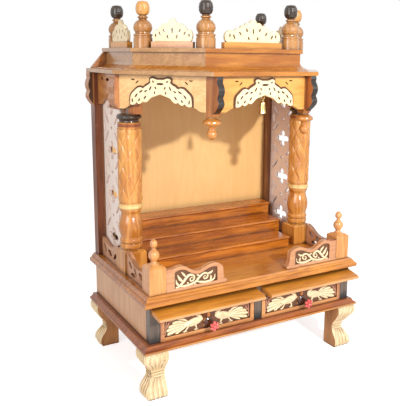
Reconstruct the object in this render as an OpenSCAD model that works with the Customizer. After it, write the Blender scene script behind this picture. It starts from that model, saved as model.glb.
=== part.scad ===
// Wooden home shrine with a projecting canopy, two drawers, steps and a bell.
// Millimetres, +Z up, the front faces -Y, the origin is on the floor under the middle.
// Inside the modules Y is counted from the front edge of the top board.

/* [Base] */
// Width of the top board over its moulding
board_w = 600; // [590:1:640]
// Depth of the top board
board_d = 373; // [366:1:400]
// Height of the top board
board_h = 22; // [18:1:30]
// Height of the legs
leg_h = 117; // [90:1:150]
// Width of a leg at its knee
leg_w = 56; // [48:1:70]
// How far the ankle is cut in behind the knee
leg_ankle = 24; // [15:1:28]
// Height of the board under the drawers
plinth_h = 16; // [12:1:24]
// Height of the drawer case
case_h = 90; // [88:1:120]
// Thickness of the case boards
case_t = 16; // [12:1:20]
// Width of the upright stiles beside the drawers
stile_w = 24; // [20:1:30]

/* [Drawers] */
// Clearance at the sides of a drawer
drawer_gap = 1.5; // [1:0.1:3]
// Height of a drawer front
drawer_h = 84; // [78:1:84]
// Thickness of a drawer front
drawer_front_t = 16; // [12:1:20]
// Thickness of the sides of a drawer
drawer_wall = 10; // [8:1:14]
// How far a drawer slides out
drawer_travel = 240; // [150:5:260]
// How far the ledge over a drawer stands forward
lip_out = 46; // [36:1:50]
// Radius of a drawer knob
knob_r = 11.5; // [8:0.5:14]

/* [Floor] */
// Width of the square newel posts
newel_w = 40; // [36:1:44]
// Height of a newel post without its turned top
newel_h = 65; // [56:1:80]
// Length of a front rail
rail_l = 168; // [120:1:200]
// Thickness of the rails
rail_t = 14; // [10:1:18]
// Height of one step
step_h = 31.5; // [24:0.5:36]
// Half width of the lowest step
step_half = 198; // [180:1:205]

/* [Pillars] */
// Distance of a pillar from the middle
pillar_x = 250; // [248:1:252]
// Width of the pedestal under a pillar
pedestal_w = 57; // [57:0.5:59]
// Height of the pedestal
pedestal_h = 56; // [45:1:66]
// Height from the floor board to the top of a pillar
pillar_h = 382; // [370:1:420]
// Radius of the carved shaft
shaft_r = 27; // [22:0.5:28]

/* [Canopy] */
// Height of the canopy posts over the pillars
canopy_h = 92; // [86:1:104]
// Height of the arch panels
arch_h = 78; // [74:1:84]
// Half width of the projecting bay
bay_half = 131; // [124:1:136]
// Half width of the canopy over its side panels
side_half = 274; // [273:0.5:276]
// Thickness of the arch panels
arch_t = 12; // [10:1:14]
// Half width of an arch
arch_half = 78; // [66:1:82]
// Rise of an arch
arch_rise = 27; // [20:1:32]
// Thickness of the cream trims
trim_t = 3; // [2:0.5:5]
// How far the canopy slab stands over the panels
slab_over = 17; // [12:1:20]
// Thickness of the canopy slab
slab_t = 9; // [7:1:14]
// Height of the cornice over the slab
cornice_h = 41; // [30:1:60]
// Thickness of the roof board
roof_t = 9; // [7:1:14]
// Thickness of the pierced side screens
jali_t = 8; // [6:1:9]

/* [Roof ornaments] */
// Radius of the foot of a finial
finial_r = 22; // [18:1:23]
// Height of a finial
finial_h = 105; // [80:1:130]
// Height of the block under a crest
block_h = 14; // [10:1:20]
// Thickness of the block under a crest
block_t = 14; // [10:1:18]
// Height of a crest over its block
crest_h = 52; // [42:1:64]
// Thickness of a crest
crest_t = 8; // [5:1:10]

/* [Bell] */
// Radius of the bell at its mouth
bell_r = 8.5; // [8:0.5:10]
// Height of the bell under its loop
bell_h = 27; // [24:1:32]

/* [Hidden] */
$fn = 64;
seat_gap = 0.3;

plinth_out = 3;
case_in = 16;
case_y = 14;
case_z = leg_h + plinth_h;
board_z = case_z + case_h;
floor_z = board_z + board_h;
board_half = board_w / 2;
case_half = board_half - case_in;
case_back = board_d - 2;
case_back_t = 9;

newel_x = board_half - 38;
newel_y = 37;
rail_y = newel_y - 5;
rail_strip_h = 11;

pillar_y = 200;
screen_x = side_half - arch_t;

post_x0 = side_half - 8;
post_x1 = side_half + 10;
post_y = board_d - 28;
inner_post_w = 26;
inner_post_t = 17;
back_panel_y = post_y + inner_post_t;
back_panel_t = 8;

bay_y = 8;
side_y = 196;
bay_angle = atan2(side_y - bay_y, side_half - bay_half);
bay_nx = sin(bay_angle);
bay_ny = cos(bay_angle);
bay_len = norm([side_half - bay_half, side_y - bay_y]);
bay_post_w = 18;
bay_post_d = 24;
bay_post_x = bay_half - 4;
bay_post_y = bay_y + 14;

slab_z = floor_z + pillar_h + canopy_h;
panel_z = slab_z - arch_h;
cornice_z = slab_z + slab_t;
roof_z = cornice_z + cornice_h;
top_z = roof_z + roof_t;
slab_back = board_d + 9;
roof_back = slab_back + 6;
front_y = case_y - seat_gap;
mid_y = (roof_back + front_y - lip_out) / 2;

// Shared helpers
module placed() {
  translate([0, -mid_y, 0]) children();
}

module both() {
  children();
  mirror([1, 0, 0]) children();
}

// A drawing of X and Z, made solid from y0 to y1
module slab_xz(y0, y1) {
  translate([0, y1, 0]) rotate([90, 0, 0]) linear_extrude(y1 - y0) children();
}

// A drawing of Y and Z, made solid from x0 to x1
module slab_yz(x0, x1) {
  translate([x0, 0, 0]) rotate([90, 0, 90]) linear_extrude(x1 - x0) children();
}

module box(a, b) {
  translate(a) cube(b - a);
}

// A flat bar with round ends between two points
module bar(a, b, r) {
  d = b - a;
  translate(a) circle(r);
  translate(b) circle(r);
  translate(a) rotate(atan2(d[1], d[0])) translate([0, -r]) square([norm(d), 2 * r]);
}

// A pointed leaf from the point p towards the angle a
module leaf(p, a, l, w) {
  r = (l * l + w * w) / (4 * w);
  translate(p) rotate(a) intersection() {
    translate([l / 2, r - w / 2]) circle(r);
    translate([l / 2, w / 2 - r]) circle(r);
  }
}

// A smooth curve through the points p, with n steps between two of them
function spline_at(t, p, i, k) =
  let (n = len(p) - 1)
  let (a = p[max(i - 1, 0)][k], b = p[i][k], c = p[min(i + 1, n)][k], d = p[min(i + 2, n)][k])
  0.5 * (2 * b + (c - a) * t + (2 * a - 5 * b + 4 * c - d) * t * t
    + (3 * b - a - 3 * c + d) * t * t * t);
function smooth(p, n) = concat(
  [for (i = [0 : len(p) - 2], j = [0 : n - 1])
    [spline_at(j / n, p, i, 0), spline_at(j / n, p, i, 1)]],
  [p[len(p) - 1]]
);
function mirrored(p) = [for (i = [len(p) - 1 : -1 : 0]) [-p[i][0], p[i][1]]];

// A turned piece: rows of radius and height
module turned(rows, n) {
  c = smooth(rows, n);
  rotate_extrude() polygon(concat([[0, c[0][1]]], c, [[0, c[len(c) - 1][1]]]));
}

// Legs: the outer faces follow this curve, from the foot up
leg_rows = [
  [12, 0], [8, 0.05], [7.5, 0.13], [11, 0.23], [20, 0.34], [leg_ankle, 0.46],
  [20, 0.58], [9.5, 0.7], [1.5, 0.82], [0, 0.92], [3, 1]
];

module leg_outline() {
  polygon(concat([[leg_w, leg_h], [leg_w, 0]],
    smooth([for (r = leg_rows) [r[0], r[1] * leg_h]], 3)));
}

module leg() {
  intersection() {
    slab_xz(0, leg_w) leg_outline();
    slab_yz(0, leg_w) leg_outline();
  }
}

module front_leg() {
  translate([-board_half - plinth_out + 2, 2 - plinth_out, 0]) leg();
}

module back_leg() {
  translate([-board_half - plinth_out + 2, board_d, 0]) mirror([0, 1, 0]) leg();
}

module leg_front_left() color("burlywood") placed() front_leg();
module leg_front_right() color("burlywood") placed() mirror([1, 0, 0]) front_leg();
module leg_back_left() color("burlywood") placed() back_leg();
module leg_back_right() color("burlywood") placed() mirror([1, 0, 0]) back_leg();

// A board with a moulded front and ends and a flat back: rows of outset and height
module moulded(rows, half, back) {
  last = len(rows) - 1;
  intersection() {
    slab_xz(-rows[1][0] - 20, back) polygon(concat(
      [for (r = rows) [half + r[0], r[1]]],
      [for (i = [last : -1 : 0]) [-half - rows[i][0], rows[i][1]]]
    ));
    slab_yz(-half - 20, half + 20) polygon(concat(
      [for (r = rows) [-r[0], r[1]]],
      [[back, rows[last][1]], [back, rows[0][1]]]
    ));
  }
}

module plinth_board() color("sienna") placed() {
  h = plinth_h;
  o = plinth_out;
  moulded([
    [o - 2, leg_h], [o, leg_h + h * 0.12], [o, leg_h + h * 0.38], [o - 4, leg_h + h * 0.5],
    [o - 8, leg_h + h * 0.75], [o - 9, leg_h + h]
  ], board_half, board_d);
}

module top_board() color("goldenrod") placed() {
  h = board_h;
  z = board_z;
  moulded([
    [-2, z], [0, z + h * 0.1], [0, z + h * 0.42], [-2, z + h * 0.5], [-5, z + h * 0.55],
    [-6.5, z + h * 0.75], [-9, z + h * 0.82], [-11, z + h * 0.95], [-12, z + h]
  ], board_half, board_d);
}

// The case round the drawers: sides, back and the board between the drawers
case_y0 = case_y + stile_w - 4;
case_back_y = case_back - case_back_t;
module case_sides() color("tan") placed() both() {
  box([-case_half, case_y0, case_z], [-case_half + case_t, case_back, board_z]);
}

module case_back() color("tan") placed() {
  box([-case_half + case_t, case_back_y, case_z], [case_half - case_t, case_back, board_z]);
}

module case_divider() color("tan") placed() {
  box([-case_t / 2, case_y0, case_z], [case_t / 2, case_back_y, board_z]);
}

middle_stile = stile_w / 2 - 2;
module front_stiles() color("dimgray") placed() {
  both() box([-case_half, case_y, case_z], [-case_half + stile_w, case_y0, board_z]);
  box([-middle_stile, case_y, case_z], [middle_stile, case_y0, board_z]);
}

// Drawers, drawn on the left
drawer_x0 = case_half - stile_w - drawer_gap;
drawer_x1 = middle_stile + drawer_gap;
drawer_z = case_z + seat_gap;
drawer_back = case_back_y - 7;
field_in = 10;
field_d = 4;

module drawer_front() {
  z1 = drawer_z + drawer_h;
  difference() {
    box([-drawer_x0, front_y, drawer_z], [-drawer_x1, front_y + drawer_front_t, z1]);
    box([-drawer_x0 + field_in, front_y - 1, drawer_z + 9],
      [-drawer_x1 - field_in, front_y + field_d, z1 - 19]);
  }
  slab_yz(-case_half + 4, -middle_stile + 2) polygon([
    [front_y, z1], [front_y - lip_out + 5, z1 - 7], [front_y - lip_out + 1, z1 - 9],
    [front_y - lip_out, z1 - 12], [front_y - lip_out + 1, z1 - 15],
    [front_y - lip_out + 4, z1 - 16], [front_y, z1 - 13]
  ]);
}

module drawer_box() {
  y0 = front_y + drawer_front_t;
  z1 = drawer_z + drawer_h - 14;
  side = 3;
  difference() {
    box([-drawer_x0 + side, y0, drawer_z], [-drawer_x1 - side, drawer_back, z1]);
    box([-drawer_x0 + side + drawer_wall, y0 + 2, drawer_z + 6],
      [-drawer_x1 - side - drawer_wall, drawer_back - drawer_wall, z1 + 1]);
  }
}

module drawer_knob() {
  translate([-(drawer_x0 + drawer_x1) / 2, front_y + field_d, drawer_z + 22]) rotate([90, 0, 0])
    turned([[9, 0], [9, 5], [5, 8], [5, 13], [knob_r, 17], [knob_r, 21], [knob_r * 0.7, 25],
      [2, 26]], 2);
}

module drawer_left_front() color("chocolate") placed() drawer_front();
module drawer_left_box() color("burlywood") placed() drawer_box();
module drawer_left_knob() color("crimson") placed() drawer_knob();
module drawer_right_front() color("chocolate") placed() mirror([1, 0, 0]) drawer_front();
module drawer_right_box() color("burlywood") placed() mirror([1, 0, 0]) drawer_box();
module drawer_right_knob() color("crimson") placed() mirror([1, 0, 0]) drawer_knob();

// Steps at the back of the floor, each with a thin nosing
step_y = [165, 233, 310];
step_wide = [0, 14, 29];
module one_step(i) {
  y1 = i < 2 ? step_y[i + 1] : back_panel_y;
  z1 = floor_z + step_h * (i + 1);
  half = step_half + step_wide[i];
  union() {
    box([-half, step_y[i], floor_z], [half, y1, z1]);
    slab_yz(-half, half) polygon([
      [step_y[i] + 1, z1 - 8], [step_y[i] - 3, z1 - 7], [step_y[i] - 5, z1 - 4],
      [step_y[i] - 4, z1 - 1], [step_y[i] - 2, z1], [step_y[i] + 1, z1]
    ]);
  }
}

module step_lower() color("peru") placed() one_step(0);
module step_middle() color("peru") placed() one_step(1);
module step_upper() color("peru") placed() one_step(2);

// Newel posts at the front corners of the floor
module newel() {
  w = newel_w / 2;
  z1 = floor_z + newel_h;
  translate([-newel_x, newel_y, 0]) {
    intersection() {
      translate([-w, -w, floor_z]) cube([2 * w, 2 * w, newel_h]);
      slab_xz(-w, w) polygon([[-w, floor_z], [w, floor_z], [w, z1 - 5], [w - 7, z1],
        [7 - w, z1], [-w, z1 - 5]]);
      slab_yz(-w, w) polygon([[-w, floor_z], [w, floor_z], [w, z1 - 5], [w - 7, z1],
        [7 - w, z1], [-w, z1 - 5]]);
    }
    translate([0, 0, z1]) turned([[12, 0], [10, 2], [7, 5], [6.5, 8], [9, 12], [12, 17],
      [12.5, 22], [11, 28], [6, 33], [4.5, 36], [5, 39], [8, 43], [8.5, 48], [7, 53],
      [3, 57]], 2);
  }
}

module newel_left() color("orange") placed() newel();
module newel_right() color("orange") placed() mirror([1, 0, 0]) newel();

// Front rails: a scrolled board with a sunk field on a stepped strip
rail_x1 = newel_x - newel_w / 2;
rail_x0 = rail_x1 - rail_l;
rail_z = floor_z + rail_strip_h;
rail_top = [
  [2, 0], [4, 5], [9, 14], [13, 22], [17, 29], [25, 34], [38, 36.5], [52, 36], [68, 31],
  [84, 27.5], [100, 27], [118, 29], [134, 33], [150, 35], [168, 35]
];

module rail_outline() {
  k = rail_l / 168;
  polygon(concat([[rail_l, 0]], [for (p = smooth(rail_top, 2)) [p[0] * k, p[1]]]));
}

module front_rail() {
  y0 = rail_y - rail_t / 2;
  y1 = rail_y + rail_t / 2;
  k = rail_l / 168;
  difference() {
    mirror([1, 0, 0]) translate([rail_x0, 0, rail_z]) slab_xz(y0, y1) rail_outline();
    mirror([1, 0, 0]) translate([rail_x0, 0, rail_z]) slab_xz(y0 - 1, y0 + 4)
      polygon([for (p = smooth([[24, -1], [24, 14], [32, 25], [46, 29], [60, 27.5], [80, 22],
        [100, 20.5], [120, 22], [140, 27], [161, 29], [161, -1]], 2)) [p[0] * k, p[1]]]);
  }
  slab_yz(-rail_x1, -rail_x0) polygon([
    [y0 - 9, floor_z], [y0 - 9, floor_z + 4], [y0 - 7, floor_z + 5], [y0 - 4, floor_z + 6],
    [y0 - 3, rail_z], [y1 + 3, rail_z], [y1 + 3, floor_z]
  ]);
}

module front_rail_left() color("salmon") placed() front_rail();
module front_rail_right() color("salmon") placed() mirror([1, 0, 0]) front_rail();

// Side rails: pierced boards between newel, pedestal and back post
pedestal_y0 = pillar_y - pedestal_w / 2;
pedestal_y1 = pillar_y + pedestal_w / 2;
module side_rail_front() {
  y0 = newel_y + newel_w / 2;
  l = pedestal_y0 - y0;
  top = floor_z + pedestal_h;
  slab_yz(-side_half, -side_half + arch_t) difference() {
    polygon(concat([[y0 + l, floor_z], [y0, floor_z]], smooth([
      [y0, floor_z + 36], [y0 + l * 0.18, floor_z + 37], [y0 + l * 0.4, floor_z + 33],
      [y0 + l * 0.62, floor_z + 36], [y0 + l * 0.8, top - 8], [y0 + l * 0.94, top - 1],
      [y0 + l, top]
    ], 2)));
    leaf([y0 + l * 0.1, floor_z + 18], 12, l * 0.28, 14);
    leaf([y0 + l * 0.46, floor_z + 14], 48, l * 0.22, 11);
    leaf([y0 + l * 0.52, floor_z + 12], -4, l * 0.26, 12);
    leaf([y0 + l * 0.7, floor_z + 24], 35, l * 0.22, 11);
  }
}

module side_rail_back() {
  l = post_y - pedestal_y1;
  slab_yz(-side_half, -side_half + arch_t) difference() {
    polygon(concat([[post_y, floor_z], [pedestal_y1, floor_z]], smooth([
      [pedestal_y1, floor_z + pedestal_h], [pedestal_y1 + l * 0.12, floor_z + pedestal_h - 3],
      [pedestal_y1 + l * 0.35, floor_z + 40], [pedestal_y1 + l * 0.6, floor_z + 37],
      [pedestal_y1 + l * 0.85, floor_z + 46], [post_y, floor_z + 50]
    ], 2)));
    leaf([pedestal_y1 + l * 0.08, floor_z + 30], -35, l * 0.26, 12);
    leaf([pedestal_y1 + l * 0.36, floor_z + 18], 10, l * 0.28, 14);
    leaf([pedestal_y1 + l * 0.7, floor_z + 16], 45, l * 0.26, 12);
  }
}

module side_rails() color("rosybrown") placed() both() {
  side_rail_front();
  side_rail_back();
}

// Pillars: a chamfered pedestal and a turned shaft in one
shaft_z0 = 167;
module pillar() {
  w = pedestal_w / 2;
  h = pedestal_h;
  s = shaft_r;
  translate([-pillar_x, pillar_y, floor_z]) {
    intersection() {
      translate([-w, -w, 0]) cube([2 * w, 2 * w, h]);
      slab_xz(-w, w) polygon([[-w, 0], [w, 0], [w, h - 6], [w - 8, h], [8 - w, h], [-w, h - 6]]);
      slab_yz(-w, w) polygon([[-w, 0], [w, 0], [w, h - 6], [w - 8, h], [8 - w, h], [-w, h - 6]]);
    }
    translate([0, 0, h]) cylinder(r = s - 4, h = 4);
    turned([[s - 2, h + 3], [s, h + 6], [s, h + 13], [s - 3, h + 16], [s, h + 19],
      [s, h + 25], [s - 3, h + 29], [s - 2, h + 33], [s + 1, h + 45], [s + 2, h + 57],
      [s, h + 70], [s - 3, h + 80], [s - 4.5, h + 88], [s - 3, h + 92], [s - 1, h + 96],
      [s - 1, h + 100], [s + 2, h + 103], [s + 2, h + 109], [s - 1, shaft_z0]], 2);
    translate([0, 0, shaft_z0 - 1]) cylinder(r = s, h = pillar_h - 20 - shaft_z0 + 1);
    translate([0, 0, pillar_h - 20]) turned([[s - 1, 0], [s - 4, 2], [s - 4, 6], [s - 1, 8],
      [s + 2, 11], [s + 2.5, 14], [s, 18], [s - 3, 20]], 2);
  }
}

module pillar_left() color("darkorange") placed() pillar();
module pillar_right() color("darkorange") placed() mirror([1, 0, 0]) pillar();

// Back posts and back panel
module back_posts() color("saddlebrown") placed() both() {
  translate([0, 0, floor_z]) linear_extrude(slab_z - floor_z) polygon([
    [-post_x1, post_y], [-screen_x + inner_post_w - 4, post_y],
    [-screen_x + inner_post_w - 4, back_panel_y], [-post_x0, back_panel_y],
    [-post_x0, board_d], [-post_x1, board_d]
  ]);
}

module back_panel() color("wheat") placed() {
  box([-post_x0 + 1, back_panel_y, floor_z], [post_x0 - 1, back_panel_y + back_panel_t, slab_z]);
}

// Pierced side screens
jali_y0 = pillar_y + 30;
jali_pitch = 108;
jali_first = 108;
module quatrefoil(r) {
  for (a = [0 : 90 : 270]) rotate(a) translate([r, 0]) circle(r * 0.72);
  circle(r * 0.8);
}

module jali_unit(w, h) {
  quatrefoil(w * 0.1);
  for (sx = [-1, 1], sy = [-1, 1]) {
    leaf([sx * w * 0.13, sy * h * 0.16], atan2(sy * h * 0.3, sx * w * 0.28), w * 0.34, w * 0.085);
  }
  for (sy = [-1, 1]) leaf([0, sy * h * 0.24], 90 * sy, h * 0.17, w * 0.1);
  for (sx = [-1, 1]) leaf([sx * w * 0.26, 0], 90 - 90 * sx, w * 0.17, w * 0.1);
}

module jali() {
  w = post_y - jali_y0;
  h = slab_z - floor_z;
  slab_yz(-screen_x, -screen_x + jali_t) difference() {
    translate([jali_y0, floor_z]) square([w, h]);
    for (i = [0 : 3]) {
      translate([jali_y0 + w / 2, floor_z + jali_first + i * jali_pitch - 12])
        jali_unit(w * 0.9, jali_pitch);
    }
    for (i = [0 : 4], s = [-1, 1]) {
      translate([jali_y0 + w / 2 + s * w * 0.4, floor_z + jali_first + (i - 0.5) * jali_pitch - 12])
        circle(r = w * 0.055, $fn = 3);
    }
  }
}

module jali_left() color("mistyrose") placed() jali();
module jali_right() color("mistyrose") placed() mirror([1, 0, 0]) jali();

// Plan of the canopy, set out by of in front, oa on the slanted faces and os at the sides
function slant_x(y, oa) = side_half + (oa + bay_ny * (y - side_y)) / bay_nx;
function slant_y(x, oa) = side_y - (oa - bay_nx * (x - side_half)) / bay_ny;
function plan_half(of, oa, os, back) = [
  [slant_x(bay_y - of, oa), bay_y - of], [side_half + os, slant_y(side_half + os, oa)],
  [side_half + os, back]
];
function plan(of, oa, os, back) =
  let (p = plan_half(of, oa, os, back))
  concat(p, [for (i = [2 : -1 : 0]) [-p[i][0], p[i][1]]]);

// The slanted side of the bay as a local frame, X from its outer end to the bay corner
module on_slant() {
  translate([-side_half, side_y, 0]) rotate([0, 0, -bay_angle]) children();
}

// Posts behind the bay corners and over the pillars
module canopy_posts() color("chocolate") placed() both() {
  c = [bay_half, bay_y];
  k = bay_post_w;
  d = bay_post_d;
  e = c + k * [bay_ny, bay_nx];
  translate([0, 0, panel_z - 10]) linear_extrude(arch_h + 10) polygon([
    [c[0] - k, c[1]], c, e, e + d * [-bay_nx, bay_ny], [c[0] - k, c[1] + d]
  ]);
  translate([0, 0, floor_z + pillar_h]) linear_extrude(canopy_h) intersection() {
    polygon(plan(-arch_t, -arch_t, -arch_t - jali_t, pillar_y + 24));
    translate([pillar_x - 24, pillar_y - 24]) square(48);
  }
}

// Arches: rows of the share of the half width and the share of the rise
arch_rows = [
  [1, 0], [0.84, 0.06], [0.68, 0.22], [0.5, 0.45], [0.35, 0.66], [0.19, 0.81], [0.07, 0.89],
  [0, 1]
];
arch_foot = 9;
arch_side = [for (p = smooth(arch_rows, 2)) [p[0] * arch_half, arch_foot + p[1] * arch_rise]];
arch_curve = concat(arch_side, [for (i = [len(arch_side) - 2 : -1 : 0])
  [-arch_side[i][0], arch_side[i][1]]]);

module arch_opening() {
  polygon(concat([[arch_half, -40]], arch_curve, [[-arch_half, -40]]));
}

module spandrel_slots() {
  for (s = [-1, 1]) {
    leaf([s * 80, arch_h - 7], 90 - s * 90, 12, 5);
    leaf([s * 68, arch_h - 14], 90 - s * 50, 11, 4.5);
    leaf([s * 52, arch_h - 20], 90 - s * 60, 13, 5);
  }
}

module arch_panel(w) {
  difference() {
    polygon(concat(
      [[w, arch_h], [w, 0], [w - 14, 0], [w - 20, 3], [w - 27, 7], [arch_half, arch_foot]],
      arch_curve,
      [[-arch_half, arch_foot], [27 - w, 7], [20 - w, 3], [14 - w, 0], [-w, 0], [-w, arch_h]]
    ));
    spandrel_slots();
  }
}

// The cream trim round an arch: scalloped band, raised crown and small slots
trim_rows = [[0.98, 10], [0.86, 17], [0.73, 21], [0.6, 25], [0.47, 30], [0.36, 38]];
module arch_trim() {
  a = arch_half;
  difference() {
    union() {
      polygon(concat([[a, arch_foot]], [for (r = trim_rows) [r[0] * a, arch_foot + r[1] + 5]],
        [[0, arch_foot + 50]], mirrored([for (r = trim_rows) [r[0] * a, arch_foot + r[1] + 5]]),
        [[-a, arch_foot]]));
      for (s = [-1, 1], r = trim_rows) translate([s * (r[0] * a - 4), arch_foot + r[1] + 4])
        circle(6);
      polygon([[24, arch_foot + 30], [22, arch_foot + 46], [24, arch_foot + 57],
        [18, arch_foot + 60], [10, arch_foot + 57], [0, arch_foot + 60], [-10, arch_foot + 57],
        [-18, arch_foot + 60], [-24, arch_foot + 57], [-22, arch_foot + 46],
        [-24, arch_foot + 30]]);
    }
    arch_opening();
    for (s = [-1, 1]) {
      leaf([s * a * 0.88, arch_foot + 7], 90 - s * 120, 8, 4);
      leaf([s * a * 0.8, arch_foot + 15], 90 - s * 140, 9, 4);
      leaf([s * a * 0.68, arch_foot + 14], 90 - s * 120, 9, 4);
      leaf([s * a * 0.56, arch_foot + 22], 90 - s * 140, 9, 4);
      leaf([s * a * 0.42, arch_foot + 26], 90 - s * 120, 9, 4);
    }
    leaf([-9, arch_foot + 50], 0, 18, 6);
  }
}

front_w = bay_half - bay_post_w;
slant_w = (bay_len - bay_post_w) / 2;
module arch_front() color("orange") placed() {
  translate([0, 0, panel_z]) slab_xz(bay_y, bay_y + arch_t) arch_panel(front_w);
}

module slant_panel() {
  on_slant() translate([slant_w, 0, panel_z]) slab_xz(0, arch_t) arch_panel(slant_w);
}

module arch_left() color("lightsalmon") placed() slant_panel();
module arch_right() color("lightsalmon") placed() mirror([1, 0, 0]) slant_panel();

module arch_trims() color("ivory") placed() {
  translate([0, 0, panel_z]) slab_xz(bay_y - trim_t, bay_y) arch_trim();
  both() on_slant() translate([slant_w, 0, panel_z]) slab_xz(-trim_t, 0) arch_trim();
}

// Scalloped boards over the side screens
valance_y0 = side_y + 8;
module side_valances() color("chocolate") placed() both() {
  l = post_y - valance_y0;
  m = (post_y + valance_y0) / 2;
  slab_yz(-side_half, -screen_x) difference() {
    polygon(concat([[post_y, slab_z], [valance_y0, slab_z]], smooth([
      [valance_y0, panel_z], [valance_y0 + l * 0.08, panel_z], [valance_y0 + l * 0.2, panel_z + 12],
      [valance_y0 + l * 0.3, panel_z + 14], [m - l * 0.08, panel_z + 24], [m, panel_z + 29],
      [m + l * 0.08, panel_z + 24], [post_y - l * 0.3, panel_z + 14],
      [post_y - l * 0.2, panel_z + 12], [post_y - l * 0.08, panel_z], [post_y, panel_z]
    ], 2)));
    leaf([m - 30, slab_z - 18], 150, 18, 7);
    leaf([m + 30, slab_z - 18], 30, 18, 7);
    leaf([m - 12, slab_z - 16], 0, 24, 8);
  }
}

// Scalloped brackets: rows of outset and height over the panels' foot
bracket_rows = [
  [17, 78], [19, 71], [17, 65], [22, 58], [26, 48], [23, 38], [19, 32], [24, 24], [24, 16],
  [16, 7], [8, 1], [0, -4]
];
bracket_k = (arch_h + 4) / 82;
module bay_brackets() color("dimgray") placed() both() {
  slab_yz(-bay_half - 2, -bay_half + 13) polygon(concat([[bay_y, slab_z]],
    [for (p = smooth(bracket_rows, 2)) [bay_y - p[0], panel_z + p[1] * bracket_k
      - 4 * (1 - bracket_k)]]));
}

module side_bracket(x, y0, y1) {
  slab_xz(y0, y1) polygon(concat([[-x, slab_z]],
    [for (p = smooth(bracket_rows, 2)) [-x - p[0] * 0.55, panel_z + p[1] * bracket_k
      - 4 * (1 - bracket_k)]]));
}

module side_brackets() color("sienna") placed() both() {
  side_bracket(side_half, side_y, side_y + 40);
  side_bracket(post_x1, post_y, board_d);
}

// Turned drops under the bay corner posts
module pendants() color("peru") placed() both() {
  translate([-bay_post_x, bay_post_y, panel_z - 10]) mirror([0, 0, 1])
    turned([[10, 0], [10, 3], [14, 6], [20, 10], [20, 16], [14, 20], [9, 23], [8, 27],
      [8.5, 30], [11.5, 35], [12, 40], [10, 46], [5, 50], [2, 51]], 2);
}

// Roof: slab, moulded cornice, roof board and sloped back board
module canopy_slab() color("darkgoldenrod") placed() {
  o = slab_over;
  translate([0, 0, slab_z]) linear_extrude(slab_t) polygon(plan(o, o, o, slab_back));
}

cornice_front = [10, 20, 42];
cornice_slant = [6, 11, 27];
cornice_side = [8, 15, 34];
function cornice_rows(c) = [
  [-c[0], cornice_z], [-c[1] + 4, cornice_z + 2], [-c[1], cornice_z + 4],
  [-c[1] * 0.6 - c[2] * 0.4, cornice_z + 6], [-c[1] * 0.2 - c[2] * 0.8, cornice_z + 11],
  [-c[2] + 1, cornice_z + 15], [-c[2], cornice_z + 17], [-c[2], roof_z]
];

// Everything behind a moulded face through p, whose outward direction is a
module face_prism(p, a, c) {
  rows = cornice_rows(c);
  translate([p[0], p[1], 0]) rotate([0, 0, a]) rotate([90, 0, 0])
    translate([0, 0, -600]) linear_extrude(1200)
      polygon(concat(rows, [[-900, roof_z], [-900, cornice_z]]));
}

module cornice() color("darkgoldenrod") placed() intersection() {
  face_prism([0, bay_y], -90, cornice_front);
  face_prism([-side_half, side_y], 180 + 90 - bay_angle, cornice_slant);
  face_prism([side_half, side_y], bay_angle - 90, cornice_slant);
  face_prism([-side_half, side_y], 180, cornice_side);
  face_prism([side_half, side_y], 0, cornice_side);
  box([-side_half, -100, cornice_z], [side_half, board_d, roof_z]);
}

module roof_board() color("goldenrod") placed() {
  o = 6;
  translate([0, 0, roof_z]) linear_extrude(roof_t) polygon(plan(o - cornice_front[2],
    o - cornice_slant[2], o - cornice_side[2], roof_back));
}

module roof_back_board() color("chocolate") placed() {
  slab_xz(board_d, board_d + 9) polygon([
    [-side_half - 7, cornice_z], [side_half + 7, cornice_z],
    [side_half - cornice_side[2] + 6, roof_z], [-side_half + cornice_side[2] - 6, roof_z]
  ]);
}

// Turned finials on the roof board
finial_inset = cornice_side[2] + 24;
finial_x = side_half - finial_inset;
finial_front = [bay_half - 16, bay_y + 66];
finial_side = [finial_x, side_y - 6];
finial_back = [finial_x, roof_back - 33];
finial_rows = [
  [1, 0], [1, 0.1], [1, 0.215], [0.94, 0.225], [0.94, 0.25], [1, 0.262], [1, 0.29],
  [0.82, 0.305], [0.8, 0.33], [0.95, 0.38], [1, 0.43], [0.93, 0.5], [0.72, 0.56],
  [0.45, 0.6], [0.4, 0.62], [0.55, 0.64], [0.55, 0.66], [0.38, 0.68], [0.38, 0.69],
  [0.6, 0.72], [0.72, 0.78], [0.74, 0.85], [0.68, 0.92], [0.5, 0.98], [0.1, 1]
];

module finial(p) {
  translate([p[0], p[1], top_z]) turned([for (r = finial_rows)
    [r[0] * finial_r, r[1] * finial_h]], 1);
}

module finials() color("peru") placed() both() {
  finial(finial_front);
  finial(finial_side);
  finial(finial_back);
}

// Crests: a row of leaves and scrolls on a block, over the front, the slants and the sides.
// Rows of the share of the half width and of the height, from the middle leaf to the foot
crest_long = [
  [0, 1], [0.06, 0.97], [0.11, 0.9], [0.13, 0.84], [0.19, 0.86], [0.26, 0.82], [0.31, 0.73],
  [0.37, 0.74], [0.44, 0.7], [0.48, 0.61], [0.55, 0.62], [0.62, 0.58], [0.66, 0.5],
  [0.75, 0.53], [0.88, 0.5], [0.97, 0.38], [1, 0.2], [0.96, 0.05], [0.93, 0]
];
crest_short = [
  [0, 1], [0.07, 0.98], [0.15, 0.9], [0.2, 0.79], [0.3, 0.79], [0.45, 0.76], [0.6, 0.68],
  [0.7, 0.58], [0.75, 0.46], [0.82, 0.52], [0.92, 0.48], [0.99, 0.36], [1, 0.2],
  [0.95, 0.05], [0.92, 0]
];
// Cuts between the leaves: shares of half width and height, angle, length and width
cuts_long = [
  [0.2, 0.45, 60, 10, 5], [0.42, 0.3, 50, 11, 5], [0.64, 0.14, 60, 12, 5.5],
  [0.83, 0.2, 90, 9, 4], [0.14, 0.1, 70, 9, 4.5]
];
cuts_short = [
  [0.32, 0.42, 30, 9, 5.5], [0.2, 0.12, 70, 9, 4.5], [0.58, 0.26, 60, 10, 5],
  [0.85, 0.18, 90, 8, 4]
];

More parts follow.
